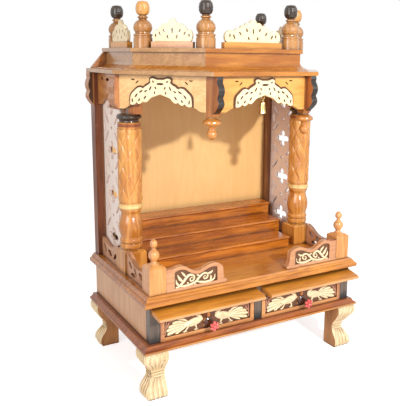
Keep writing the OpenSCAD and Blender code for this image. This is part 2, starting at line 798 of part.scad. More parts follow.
module crest_outline(a, rows, cuts) {
  h = crest_h;
  side = smooth([for (r = rows) [r[0] * a, r[1] * h]], 2);
  difference() {
    polygon(concat(side, [for (i = [len(side) - 1 : -1 : 1]) [-side[i][0], side[i][1]]]));
    for (s = [-1, 1], c = cuts)
      leaf([s * c[0] * a, c[1] * h], 90 - s * (90 - c[2]), c[3], c[4]);
    leaf([0, h * 0.34], 90, 14, 4.5);
  }
}

crest_front_half = 78;
crest_slant_half = 51;
crest_side_half = 53;
crest_front_y = bay_y + 54;
crest_side_x = finial_x + 19;
crest_side_y = (finial_side[1] + finial_back[1]) / 2 + 6;
slant_mid = (finial_front + finial_side) / 2;
slant_turn = atan2(finial_side[1] - finial_front[1], finial_side[0] - finial_front[0]);

// Puts a piece drawn along X at each of the five places of a crest
module at_front() {
  translate([0, crest_front_y, top_z]) children();
}

module at_slants() {
  both() translate([slant_mid[0], slant_mid[1], top_z]) rotate([0, 0, slant_turn])
    translate([0, -6, 0]) children();
}

module at_sides() {
  both() translate([crest_side_x, crest_side_y, top_z]) rotate([0, 0, 90]) children();
}

module block(a) {
  translate([-a, -block_t / 2, 0]) cube([2 * a, block_t, block_h]);
}

module crest(a, rows, cuts) {
  translate([0, 0, block_h]) slab_xz(-crest_t / 2, crest_t / 2) crest_outline(a - 3, rows, cuts);
}

module crest_blocks() color("sandybrown") placed() {
  at_front() block(crest_front_half);
  at_slants() block(crest_slant_half);
  at_sides() block(crest_side_half);
}

module crests() color("ivory") placed() {
  at_front() crest(crest_front_half, crest_long, cuts_long);
  at_slants() crest(crest_slant_half, crest_short, cuts_short);
  at_sides() crest(crest_side_half, crest_short, cuts_short);
}

// Bell under the front arch: a staple in the apex and a loop on its pin
pin_r = 1;
loop_r = 3.2;
pin_drop = 9;
pin_z = panel_z + arch_foot + arch_rise - pin_drop;
bell_y = bay_y + arch_t / 2;
module bell_hook() color("gold") placed() translate([0, bell_y, 0]) {
  translate([-5, 0, pin_z]) rotate([0, 90, 0]) cylinder(r = pin_r, h = 10);
  both() {
    translate([5, 0, pin_z - pin_r]) cylinder(r = pin_r, h = pin_drop + pin_r - arch_rise / 8);
  }
}

module bell() color("gold") placed() {
  drop = loop_r - pin_r - pin_r - seat_gap;
  z1 = pin_z - drop - loop_r - 2;
  translate([0, bell_y, pin_z - drop]) rotate([0, 90, 0]) rotate_extrude()
    translate([loop_r, 0]) circle(pin_r, $fn = 24);
  translate([0, bell_y, z1 - 4]) cylinder(r = 2.5, h = 6.6);
  translate([0, bell_y, z1]) mirror([0, 0, 1]) rotate_extrude() polygon(concat(
    smooth([[2, 0], [4.5, 1.5], [6, 5], [6.6, bell_h * 0.5], [7.2, bell_h * 0.75],
      [bell_r, bell_h]], 3),
    smooth([[bell_r - 1.2, bell_h], [6, bell_h * 0.75], [5.4, bell_h * 0.5], [4.8, 5.5],
      [3, 2.8], [0, 2.8]], 3), [[0, 0]]
  ));
  translate([0, bell_y, z1 - bell_h * 0.5]) cylinder(r = 0.7, h = bell_h * 0.5 - 2);
  translate([0, bell_y, z1 - bell_h * 0.5]) sphere(2.2);
}

leg_front_left();
leg_front_right();
leg_back_left();
leg_back_right();
plinth_board();
case_sides();
case_back();
case_divider();
front_stiles();
top_board();
drawer_left_front();
drawer_left_box();
drawer_left_knob();
drawer_right_front();
drawer_right_box();
drawer_right_knob();
step_lower();
step_middle();
step_upper();
newel_left();
newel_right();
front_rail_left();
front_rail_right();
side_rails();
pillar_left();
pillar_right();
back_posts();
back_panel();
jali_left();
jali_right();
canopy_posts();
arch_front();
arch_left();
arch_right();
arch_trims();
side_valances();
bay_brackets();
side_brackets();
pendants();
canopy_slab();
cornice();
roof_board();
roof_back_board();
finials();
crest_blocks();
crests();
bell_hook();
bell();
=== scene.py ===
import math
import bmesh
import bpy
from mathutils import Matrix, Vector


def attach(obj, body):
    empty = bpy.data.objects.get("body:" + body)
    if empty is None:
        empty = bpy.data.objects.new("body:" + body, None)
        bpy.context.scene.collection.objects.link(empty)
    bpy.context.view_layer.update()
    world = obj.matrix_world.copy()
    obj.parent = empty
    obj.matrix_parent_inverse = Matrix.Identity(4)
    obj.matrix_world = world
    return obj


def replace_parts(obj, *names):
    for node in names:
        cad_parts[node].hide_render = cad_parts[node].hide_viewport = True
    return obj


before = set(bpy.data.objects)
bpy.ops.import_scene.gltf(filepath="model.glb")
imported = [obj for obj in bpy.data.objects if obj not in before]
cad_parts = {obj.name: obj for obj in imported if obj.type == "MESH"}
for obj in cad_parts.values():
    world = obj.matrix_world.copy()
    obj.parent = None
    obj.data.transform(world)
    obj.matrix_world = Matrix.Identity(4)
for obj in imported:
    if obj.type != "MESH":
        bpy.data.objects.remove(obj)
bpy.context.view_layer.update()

# The photograph's view: a camera at the left, a little above the shrine's middle,
# looking across the front to the right.
camera_data = bpy.data.cameras.new("camera")
camera = bpy.data.objects.new("camera", camera_data)
bpy.context.scene.collection.objects.link(camera)
bpy.context.scene.camera = camera
bpy.context.scene.view_settings.view_transform = "Standard"
turn, dip, roll = math.radians(-30.586), math.radians(11.158), math.radians(0.694)
forward = Vector((-math.sin(turn) * math.cos(dip), math.cos(turn) * math.cos(dip), -math.sin(dip)))
level_right = Vector((math.cos(turn), math.sin(turn), 0))
level_up = level_right.cross(forward)
view_right = level_right * math.cos(roll) + level_up * math.sin(roll)
view_up = level_up * math.cos(roll) - level_right * math.sin(roll)
camera_place = Vector((-0.781, -1.33115, 0.7617))
camera.matrix_world = Matrix((
    (view_right.x, view_up.x, -forward.x, camera_place.x),
    (view_right.y, view_up.y, -forward.y, camera_place.y),
    (view_right.z, view_up.z, -forward.z, camera_place.z),
    (0, 0, 0, 1)))
PICTURE_WIDE, PICTURE_TALL = 400, 406
FOCAL_LENGTH, AXIS_ACROSS, AXIS_DOWN = 614, 227.2, 177.2
camera_data.sensor_fit = "VERTICAL"
camera_data.sensor_height = 36
camera_data.lens = FOCAL_LENGTH / PICTURE_TALL * camera_data.sensor_height
camera_data.shift_x = (PICTURE_WIDE / 2 - AXIS_ACROSS) / PICTURE_TALL
camera_data.shift_y = (AXIS_DOWN - PICTURE_TALL / 2) / PICTURE_TALL
camera_data.clip_end = 50


# The studio: a plain pale floor, white air behind, one soft lamp straight ahead of the
# shrine and a little above it, and two wide fills.
def soft_lamp(name, place, aim, size, watts):
    lamp_data = bpy.data.lights.new(name, "AREA")
    lamp_data.shape = "DISK"
    lamp_data.size = size
    lamp_data.energy = watts
    lamp = bpy.data.objects.new(name, lamp_data)
    bpy.context.scene.collection.objects.link(lamp)
    way = Vector(aim) - Vector(place)
    lamp.matrix_world = Matrix.Translation(place) @ way.to_track_quat("-Z", "Y").to_matrix().to_4x4()


soft_lamp("key_lamp", (0.05, -2.65, 1.55), (0, 0, 0.55), 0.12, 62)
soft_lamp("left_fill", (-2.4, -1.3, 1.3), (0, 0, 0.45), 1.4, 30)
soft_lamp("right_fill", (1.9, -2.0, 1.7), (0, 0, 0.4), 1.4, 8)

world = bpy.data.worlds.new("studio_air")
bpy.context.scene.world = world
world.use_nodes = True
air = world.node_tree.nodes
air_links = world.node_tree.links
air.clear()
rays = air.new("ShaderNodeLightPath")
seen = rays.outputs["Is Camera Ray"]
for ray in ("Is Transmission Ray", "Is Glossy Ray"):
    either = air.new("ShaderNodeMath")
    either.operation = "MAXIMUM"
    air_links.new(seen, either.inputs[0])
    air_links.new(rays.outputs[ray], either.inputs[1])
    seen = either.outputs[0]
soft_air = air.new("ShaderNodeBackground")
soft_air.inputs["Color"].default_value = (1, 0.98, 0.95, 1)
soft_air.inputs["Strength"].default_value = 0.42
white_air = air.new("ShaderNodeBackground")
white_air.inputs["Color"].default_value = (1, 1, 1, 1)
white_air.inputs["Strength"].default_value = 1
choose = air.new("ShaderNodeMixShader")
air_out = air.new("ShaderNodeOutputWorld")
air_links.new(seen, choose.inputs[0])
air_links.new(soft_air.outputs[0], choose.inputs[1])
air_links.new(white_air.outputs[0], choose.inputs[2])
air_links.new(choose.outputs[0], air_out.inputs[0])

floor_shape = bmesh.new()
bmesh.ops.create_grid(floor_shape, x_segments=1, y_segments=1, size=6)
floor_mesh = bpy.data.meshes.new("studio_floor")
floor_shape.to_mesh(floor_mesh)
floor_shape.free()
studio_floor = bpy.data.objects.new("studio_floor", floor_mesh)
bpy.context.scene.collection.objects.link(studio_floor)
floor_paint = bpy.data.materials.new("floor_paint")
floor_paint.use_nodes = True
floor_surface = floor_paint.node_tree.nodes["Principled BSDF"]
floor_surface.inputs["Base Color"].default_value = (0.9, 0.9, 0.9, 1)
floor_surface.inputs["Roughness"].default_value = 0.8
floor_rays = floor_paint.node_tree.nodes.new("ShaderNodeLightPath")
floor_glow = floor_paint.node_tree.nodes.new("ShaderNodeMath")
floor_glow.operation = "MULTIPLY"
GLOW_FOR_WHITE = 0.62
floor_glow.inputs[1].default_value = GLOW_FOR_WHITE
floor_paint.node_tree.links.new(floor_rays.outputs["Is Camera Ray"], floor_glow.inputs[0])
floor_surface.inputs["Emission Color"].default_value = (1, 1, 1, 1)
floor_paint.node_tree.links.new(floor_glow.outputs[0], floor_surface.inputs["Emission Strength"])
floor_mesh.materials.append(floor_paint)


# Legs: four scrolled legs of solid wood, with a knee and a paw. Leaves, bands and claws are
# carved into the front and the outer face, which are painted cream and rubbed back.
MIDDLE_DEPTH = 177.85


def mm(x, y, z):
    """Millimetres, with Y from the front edge of the top board, as the shrine is built."""
    return Vector((x, y - MIDDLE_DEPTH, z)) / 1000


def new_group(name, inputs, outputs):
    tree = bpy.data.node_groups.new(name, "ShaderNodeTree")
    for label, kind, start in inputs:
        socket = tree.interface.new_socket(name=label, in_out="INPUT", socket_type=kind)
        socket.default_value = start
    for label, kind in outputs:
        tree.interface.new_socket(name=label, in_out="OUTPUT", socket_type=kind)
    return tree, tree.nodes.new("NodeGroupInput"), tree.nodes.new("NodeGroupOutput")


def node(tree, kind, settings=(), **inputs):
    made = tree.nodes.new("ShaderNode" + kind)
    for label, value in dict(settings).items():
        setattr(made, label, value)
    for label, value in inputs.items():
        key = int(label[1:]) if label[0] == "i" and label[1:].isdigit() else label.replace("_", " ")
        if isinstance(value, bpy.types.NodeSocket):
            tree.links.new(value, made.inputs[key])
        else:
            made.inputs[key].default_value = value
    return made


def maths(tree, way, *values):
    made = node(tree, "Math", {"operation": way}, **{"i%d" % n: v for n, v in enumerate(values)})
    return made.outputs[0]


def blend(tree, share, first, second):
    made = node(tree, "Mix", {"data_type": "RGBA"}, i0=share, i6=first, i7=second)
    return made.outputs[2]


COLOUR, NUMBER, VECTOR = "NodeSocketColor", "NodeSocketFloat", "NodeSocketVector"

# Wood grain: long soft bands with fine pores, stretched along the board
grain_tree, given, result = new_group("wood_grain", [
    ("Pale", COLOUR, (0.7, 0.4, 0.1, 1)), ("Deep", COLOUR, (0.4, 0.15, 0.03, 1)),
    ("Along", VECTOR, (4, 30, 30)), ("Figure", NUMBER, 1.0)],
    [("Colour", COLOUR), ("Pores", NUMBER), ("Bands", NUMBER)])
spot = node(grain_tree, "TexCoord").outputs["Object"]
stretched = node(grain_tree, "Mapping", Vector=spot, Scale=given.outputs["Along"]).outputs[0]
drift = node(grain_tree, "TexNoise", Vector=stretched, Scale=0.9, Detail=3.0, Roughness=0.5,
             Distortion=0.6).outputs["Fac"]
rings = maths(grain_tree, "SINE", maths(grain_tree, "MULTIPLY", drift, 34.0))
rings = maths(grain_tree, "MULTIPLY_ADD", rings, 0.5, 0.5)
fibre = node(grain_tree, "TexNoise", Vector=stretched, Scale=7.0, Detail=8.0, Roughness=0.7).outputs["Fac"]
patch = node(grain_tree, "TexNoise", Vector=spot, Scale=9.0, Detail=2.0, Roughness=0.5).outputs["Fac"]
share = maths(grain_tree, "MULTIPLY_ADD", rings, 0.42, maths(grain_tree, "MULTIPLY", fibre, 0.7))
share = maths(grain_tree, "ADD", share, maths(grain_tree, "MULTIPLY_ADD", patch, 0.9, -0.55))
share = maths(grain_tree, "MULTIPLY_ADD", maths(grain_tree, "SUBTRACT", share, 0.5), given.outputs["Figure"],
              0.5)
share = node(grain_tree, "Clamp", Value=share).outputs[0]
grain_tree.links.new(blend(grain_tree, share, given.outputs["Deep"], given.outputs["Pale"]),
                     result.inputs["Colour"])
grain_tree.links.new(fibre, result.inputs["Pores"])
grain_tree.links.new(rings, result.inputs["Bands"])

# Rounded arrises, lightened by wear and a painted highlight, and painted shade that darkens corners and the
# gaps between parts
edge_tree, given, result = new_group("edge_wear_and_painted_light", [
    ("Round", NUMBER, 0.0012), ("Gather", NUMBER, 0.014)],
    [("Normal", VECTOR), ("WearAndHighlight", NUMBER), ("CornerShade", NUMBER)])
true_way = node(edge_tree, "NewGeometry").outputs["Normal"]
round_way = node(edge_tree, "Bevel", {"samples": 4}, Radius=given.outputs["Round"]).outputs[0]
same = node(edge_tree, "VectorMath", {"operation": "DOT_PRODUCT"}, i0=true_way, i1=round_way).outputs["Value"]
wear_and_highlight = node(edge_tree, "MapRange", Value=same, From_Min=0.985, From_Max=0.86).outputs[0]
# Ambient occlusion: corners and gaps get painted shade
shut = node(edge_tree, "AmbientOcclusion", {"samples": 6, "only_local": False},
            Distance=given.outputs["Gather"]).outputs["AO"]
# Convex edges, which get a painted highlight
open_air = node(edge_tree, "AmbientOcclusion", {"samples": 6, "inside": True, "only_local": True},
                Distance=0.004).outputs["AO"]
convex = node(edge_tree, "MapRange", Value=open_air, From_Min=0.8, From_Max=0.45).outputs[0]
corner_shade = node(edge_tree, "MapRange", Value=shut, From_Min=0.85, From_Max=0.35).outputs[0]
edge_tree.links.new(round_way, result.inputs["Normal"])
edge_tree.links.new(maths(edge_tree, "MULTIPLY", wear_and_highlight, convex), result.inputs["WearAndHighlight"])
edge_tree.links.new(corner_shade, result.inputs["CornerShade"])

# Masks: faces that look one way, and the part of a piece that lies beyond a plane
facing_tree, given, result = new_group("facing", [
    ("Way", VECTOR, (0, -1, 0)), ("From", NUMBER, 0.5), ("To", NUMBER, 0.8)], [("Mask", NUMBER)])
turned_to = node(facing_tree, "VectorMath", {"operation": "DOT_PRODUCT"},
                 i0=node(facing_tree, "NewGeometry").outputs["Normal"],
                 i1=given.outputs["Way"]).outputs["Value"]
facing_tree.links.new(node(facing_tree, "MapRange", {"interpolation_type": "SMOOTHSTEP"}, Value=turned_to,
                           From_Min=given.outputs["From"], From_Max=given.outputs["To"]).outputs[0],
                      result.inputs["Mask"])
beyond_tree, given, result = new_group("beyond", [
    ("Way", VECTOR, (0, 0, 1)), ("From", NUMBER, 0.0), ("To", NUMBER, 0.001), ("Waver", NUMBER, 0.0)],
    [("Mask", NUMBER)])
spot = node(beyond_tree, "TexCoord").outputs["Object"]
reach = node(beyond_tree, "VectorMath", {"operation": "DOT_PRODUCT"}, i0=spot,
             i1=given.outputs["Way"]).outputs["Value"]
ripple = node(beyond_tree, "TexNoise", Vector=spot, Scale=60.0, Detail=3.0).outputs["Fac"]
ripple = maths(beyond_tree, "MULTIPLY", maths(beyond_tree, "SUBTRACT", ripple, 0.5), given.outputs["Waver"])
beyond_tree.links.new(node(beyond_tree, "MapRange", {"interpolation_type": "SMOOTHSTEP"},
                           Value=maths(beyond_tree, "ADD", reach, ripple),
                           From_Min=given.outputs["From"], From_Max=given.outputs["To"]).outputs[0],
                      result.inputs["Mask"])


def placed_group(tree, group, **inputs):
    return node(tree, "Group", {"node_tree": group}, **inputs)


ALONG = {"x": (3.5, 30, 30), "y": (30, 3.5, 30), "z": (30, 30, 3.5), "plain": (16, 16, 16)}


def facing(way, start=0.5, end=0.8):
    return lambda tree: placed_group(tree, facing_tree, Way=way, From=start, To=end).outputs[0]


def beyond(way, start, end, waver=0.0):
    return lambda tree: placed_group(tree, beyond_tree, Way=way, From=start, To=end, Waver=waver).outputs[0]


def both_masks(*masks):
    def joined(tree):
        share = masks[0](tree)
        for mask in masks[1:]:
            share = maths(tree, "MULTIPLY", share, mask(tree))
        return share
    return joined


AMBER_LACQUER, NO_TINT = (0.98, 0.88, 0.66), (1, 1, 1)


def wood(name, pale, deep, along="x", polish=0.3, figure=1.0, zones=(), corner_shade=0.75,
         corner_shade_tone=(0.06, 0.018, 0.006), wear_and_highlight=0.35, coat=0.35, relief=0.25, round_edge=0.0012, gather=0.012):
    """Polished wood. A zone is a mask, its pale and its deep colour. Amber lacquer tints bare wood. Edges get
    wear and a painted highlight, corners a painted shade.
    """
    lacquer = AMBER_LACQUER if name.endswith("_wood") else NO_TINT

    def tinted(tone):
        return [part * tint for part, tint in zip(tone, lacquer)]

    pale, deep = tinted(pale), tinted(deep)
    zones = [(mask, tinted(zone_pale), tinted(zone_deep)) for mask, zone_pale, zone_deep in zones]
    paint = bpy.data.materials.new(name)
    paint.use_nodes = True
    tree = paint.node_tree
    surface = tree.nodes["Principled BSDF"]
    grain = placed_group(tree, grain_tree, Pale=(*pale, 1), Deep=(*deep, 1), Along=ALONG[along],
                         Figure=figure)
    colour = grain.outputs["Colour"]
    for mask, zone_pale, zone_deep in zones:
        other = placed_group(tree, grain_tree, Pale=(*zone_pale, 1), Deep=(*zone_deep, 1), Along=ALONG[along],
                             Figure=figure)
        colour = blend(tree, mask(tree), colour, other.outputs["Colour"])
    edges = placed_group(tree, edge_tree, Round=round_edge, Gather=gather)
    # Edges lightened partly by wear and partly as a painted highlight
    worn_highlight_tone = tuple(min(1, c * 1.25 + 0.05) for c in pale)
    colour = blend(tree, maths(tree, "MULTIPLY", edges.outputs["WearAndHighlight"], wear_and_highlight), colour, (*worn_highlight_tone, 1))
    # Corners and gaps darkened with painted shade
    colour = blend(tree, maths(tree, "MULTIPLY", edges.outputs["CornerShade"], corner_shade), colour, (*corner_shade_tone, 1))
    tree.links.new(colour, surface.inputs["Base Color"])
    rough = maths(tree, "MULTIPLY_ADD", grain.outputs["Pores"], 0.22, polish - 0.1)
    tree.links.new(rough, surface.inputs["Roughness"])
    height = maths(tree, "MULTIPLY_ADD", grain.outputs["Pores"], 0.7,
                   maths(tree, "MULTIPLY", grain.outputs["Bands"], 0.3))
    bump = node(tree, "Bump", Strength=relief, Distance=0.0006, Height=height, Normal=edges.outputs["Normal"])
    tree.links.new(bump.outputs[0], surface.inputs["Normal"])
    surface.inputs["Coat Weight"].default_value = coat
    surface.inputs["Coat Roughness"].default_value = 0.16
    return paint


def dress(paint, *names):
    for name in names:
        for place in bpy.data.objects[name].material_slots:
            place.material = paint


def make_piece(shape, name, paints, body, smooth=True):
    bmesh.ops.remove_doubles(shape, verts=shape.verts, dist=0.00002)
    bmesh.ops.recalc_face_normals(shape, faces=shape.faces)
    for face in shape.faces:
        face.smooth = smooth
    mesh = bpy.data.meshes.new(name)
    shape.to_mesh(mesh)
    shape.free()
    for paint in paints:
        mesh.materials.append(paint)
    piece = bpy.data.objects.new(name, mesh)
    bpy.context.scene.collection.objects.link(piece)
    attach(piece, body)
    return piece


def eased(points, steps):
    """A smooth line through the points."""
    line = []
    last = len(points) - 1
    for n in range(last):
        a, b = Vector(points[max(n - 1, 0)]), Vector(points[n])
        c, d = Vector(points[n + 1]), Vector(points[min(n + 2, last)])
        for step in range(steps):
            t = step / steps
            line.append(0.5 * (2 * b + (c - a) * t + (2 * a - 5 * b + 4 * c - d) * t * t
                               + (3 * b - a - 3 * c + d) * t ** 3))
    line.append(Vector(points[last]))
    return line


def ribbon(shape, points, lift, place, steps=4, sink=0.6):
    """A crowned carved stroke. Points are across, up and half width; place maps them to the face."""
    line = eased(points, steps)
    edges = []
    for n, spot in enumerate(line):
        before, after = line[max(n - 1, 0)], line[min(n + 1, len(line) - 1)]
        way = Vector((after.x - before.x, after.y - before.y)).normalized()
        side = Vector((-way.y, way.x))
        half = max(spot.z, 0.05)
        rise = lift * min(1, half / 1.6)
        row = [(-1, -sink), (-0.92, rise * 0.45), (-0.5, rise * 0.92), (0, rise), (0.5, rise * 0.92),
               (0.92, rise * 0.45), (1, -sink)]
        spots = [place(spot.x + side.x * half * r, spot.y + side.y * half * r, w) for r, w in row]
        if not edges:
            ring = [shape.verts.new(s) for s in spots]
            edges = [shape.edges.new(pair) for pair in zip(ring, ring[1:])]
        else:
            made = bmesh.ops.extrude_edge_only(shape, edges=edges)["geom"]
            fresh = [item for item in made if isinstance(item, bmesh.types.BMVert)]
            grown = [item for item in made if isinstance(item, bmesh.types.BMEdge)]
            fresh.sort(key=lambda v: min(range(len(ring)), key=lambda k: (ring[k].co - v.co).length))
            for vert, s in zip(fresh, spots):
                vert.co = s
            ring = fresh
            edges = [e for e in grown if all(v in ring for v in e.verts)]


def dome(shape, across, up, half_across, half_up, lift, place, turn=0.0, paint=0, rings=6, sides=12):
    """A rounded carved boss."""
    made = bmesh.ops.create_uvsphere(shape, u_segments=sides, v_segments=rings, radius=1)["verts"]
    c, s = math.cos(turn), math.sin(turn)
    for vert in made:
        a, b, w = vert.co.x * half_across, vert.co.y * half_up, vert.co.z * lift
        vert.co = place(across + a * c - b * s, up + a * s + b * c, w)
    for face in {face for vert in made for face in vert.link_faces}:
        face.material_index = paint


def for_the_right(*shapes):
    for shape in shapes:
        bmesh.ops.scale(shape, vec=(-1, 1, 1), verts=shape.verts)


LEG_TALL, LEG_SPREAD, CARVING_STRETCH, OUTER_SIDE = 117, 372, 1.04, -302.9
leg_curve = [(12, 0), (8, 0.05), (7.5, 0.13), (11, 0.23), (20, 0.34), (24, 0.46), (20, 0.58), (9.5, 0.7),
             (1.5, 0.82), (0, 0.92), (3, 1)]


def leg_depth(z):
    share = min(max(z / LEG_TALL, 0), 1)
    for (a, u), (b, v) in zip(leg_curve, leg_curve[1:]):
        if share <= v:
            return a + (b - a) * (share - u) / (v - u)
    return leg_curve[-1][0]


def on_leg_front(across, up, out):
    up *= CARVING_STRETCH
    return mm(-301 + across, -1 + leg_depth(up) - out, up)


def on_leg_side(across, up, out):
    up *= CARVING_STRETCH
    return mm(max(-301 + leg_depth(up) - out, OUTER_SIDE), -1 + across, up)


leg_paint = wood("leg_paint", (0.93, 0.78, 0.52), (0.74, 0.5, 0.25), "plain", 0.4, 0.8, (), 0.9,
                 (0.3, 0.13, 0.04), 0.3, 0.15, gather=0.006)
for side in ("front_left", "front_right", "back_left", "back_right"):
    left, front = side.endswith("left"), side.startswith("front")
    painted_ways = [(-1, 0, 0) if left else (1, 0, 0)] + [(0, -1, 0)] * front
    zones = [(facing(way, 0.25, 0.6), (0.92, 0.76, 0.5), (0.74, 0.5, 0.24)) for way in painted_ways]
    dress(wood("leg_wood_" + side, (0.62, 0.3, 0.1), (0.36, 0.13, 0.035), "z", 0.34, 0.9, zones, gather=0.01),
          "leg_" + side)
    carving = bmesh.new()
    for place in (on_leg_front, on_leg_side) if front else (on_leg_side,):
        for foot, tip, bend, wide in ((17, 5, -4, 3.2), (23, 15, -2, 3.4), (30, 27, 0, 3.6), (37, 39, 2, 3.4),
                                      (43, 50, 4, 3.2)):
            ribbon(carving, [(foot + 4, 66, 0.8), (foot + bend * 0.3 + 1, 78, wide * 0.8),
                             ((foot + tip) / 2 + bend, 90, wide),
                             (tip, 102, wide * 1.1), (tip + 0.5, 109, 0.6)], 2.6, place)
        for stroke, lift in (([(5, 104, 1), (3, 96, 2), (7, 88, 2.4), (13, 86, 2.2), (13, 92, 1.8),
                               (9, 94, 0.6)], 2.6),
                             ([(51, 104, 1), (53, 94, 2), (49, 86, 2.4), (43, 84, 2.2), (44, 90, 1.8),
                               (47, 92, 0.6)], 2.4),
                             ([(25, 57, 1.2), (34, 55.5, 1.8), (44, 55.5, 1.8), (55, 57, 1.2)], 2.0),
                             ([(25, 50, 1.2), (34, 48.5, 1.8), (44, 48.5, 1.8), (55, 50, 1.2)], 2.0)):
            ribbon(carving, stroke, lift, place)
        for at, low in ((15, 8), (26, 5), (37, 4), (48, 4)):
            ribbon(carving, [(at * 0.55 + 18, 45, 0.8), (at * 0.85 + 5.5, 34, 2.6), (at, 22, 4.2),
                             (at, 13, 4.6), (at, low, 1.4)], 3.0, place)
            dome(carving, at, low + 2.5, 2.4, 3.4, 3.6, place)
    if not left:
        for_the_right(carving)
    if not front:
        bmesh.ops.scale(carving, vec=(1, -1, 1), verts=carving.verts)
        bmesh.ops.translate(carving, vec=(0, (LEG_SPREAD - 2 * MIDDLE_DEPTH) / 1000, 0), verts=carving.verts)
    make_piece(carving, "carving_" + side, [leg_paint], "shrine")

# Plinth: a moulded board under the drawers, golden on its front face and dark red-brown on the rest, a
# painted shade standing for the shadow on its top.
# It rests on the legs, screwed up into them.
plinth_wood = wood("plinth_wood", (0.44, 0.14, 0.03), (0.2, 0.05, 0.012), "x", 0.3, 1.2,
                   [(both_masks(facing((0, -1, 0), 0.3, 0.8), beyond((0, 0, -1), -0.1235, -0.1215)),
                     (0.68, 0.36, 0.13), (0.45, 0.19, 0.05))], corner_shade=0.6)
dress(plinth_wood, "plinth_board")

# Drawer case: planed side boards of two widths glued edge to edge, a thin back, a divider and
# front stiles with their colour burnt to grey-black. It stands on the plinth, glued and pinned.
case_wood = wood("case_wood", (0.74, 0.46, 0.31), (0.5, 0.26, 0.15), "z", 0.32, 0.9, [
    (beyond((0, 0, -1), -0.1385, -0.1355), (0.3, 0.1, 0.04), (0.14, 0.04, 0.015)),
    (both_masks(beyond((0, 1, 0), 0.0245, 0.0252), beyond((0, -1, 0), -0.0268, -0.0261)),
     (0.3, 0.15, 0.08), (0.2, 0.09, 0.05))])
dress(case_wood, "case_sides", "case_divider")
dress(wood("case_back_wood", (0.66, 0.42, 0.26), (0.44, 0.24, 0.13), "x", 0.45, 0.8), "case_back")
stile_wood = wood("stile_wood", (0.2, 0.16, 0.16), (0.07, 0.055, 0.055), "z", 0.34, 1.0, [
    (beyond((0, 0, -1), -0.162, -0.138, 0.02), (0.012, 0.01, 0.01), (0.006, 0.005, 0.005))], wear_and_highlight=0.15)
dress(stile_wood, "front_stiles")

# Top board: a thick glossy board with a moulded edge, golden in front and redder at the left end.
# It closes the drawer case, and its top is the shrine's floor.
board_wood = wood("board_wood", (0.74, 0.33, 0.055), (0.42, 0.14, 0.018), "x", 0.25, 1.0, [
    (facing((-1, 0, 0), 0.4, 0.8), (0.56, 0.24, 0.1), (0.3, 0.1, 0.035))], coat=0.6, corner_shade=0.85)
dress(board_wood, "top_board")

# Drawers: a front board with a sunk field and a sloping lip over it. A pair of facing peacocks
# among branches is carved from thin board, painted, and glued into the field.
DRAWER_FIELD, DRAWER_MIDDLE, FIELD_MIDDLE = 17.7, -135, 121.5
drawer_wood = wood("drawer_wood", (0.78, 0.42, 0.2), (0.52, 0.21, 0.07), "x", 0.3, 0.9, [
    (both_masks(beyond((0, 1, 0), (DRAWER_FIELD - MIDDLE_DEPTH - 2) / 1000,
                       (DRAWER_FIELD - MIDDLE_DEPTH - 0.5) / 1000), facing((0, -1, 0), 0.3, 0.8)),
     (0.2, 0.07, 0.02), (0.09, 0.03, 0.01)),
    (beyond((0, 0, 1), 0.2015, 0.2035), (0.78, 0.36, 0.06), (0.46, 0.17, 0.022)),
    (both_masks(facing((0, -1, 0), 0.7, 0.95), beyond((0, -1, 0), 0.19, 0.2)), (0.8, 0.46, 0.26),
     (0.55, 0.27, 0.12)),
    *((both_masks(beyond((0, 0, -1), -0.2015, -0.1985), beyond((way, 0, 0), 0.244, 0.262, 0.006)),
       (0.42, 0.2, 0.16), (0.26, 0.11, 0.09)) for way in (-1, 1))])
dress(drawer_wood, "drawer_left_front", "drawer_right_front")
dress(wood("drawer_box_wood", (0.76, 0.58, 0.36), (0.6, 0.4, 0.22), "y", 0.5, 0.7, coat=0.1),
      "drawer_left_box", "drawer_right_box")
cream_paint = wood("cream_paint", (0.95, 0.83, 0.56), (0.84, 0.64, 0.36), "plain", 0.38, 0.7, (), 0.85,
                   (0.22, 0.09, 0.03), 0.2, 0.2, gather=0.005)
branch_paint = wood("branch_paint", (0.62, 0.3, 0.2), (0.42, 0.17, 0.09), "plain", 0.36, 0.9, gather=0.005)
stem_paint = wood("stem_paint", (0.6, 0.24, 0.05), (0.4, 0.12, 0.02), "plain", 0.32, 0.9, gather=0.005)


def on_drawer(across, up, out):
    return mm(DRAWER_MIDDLE + (across - FIELD_MIDDLE) * 0.985, DRAWER_FIELD - out,
              142.3 + (up - 138.8) * 0.94)


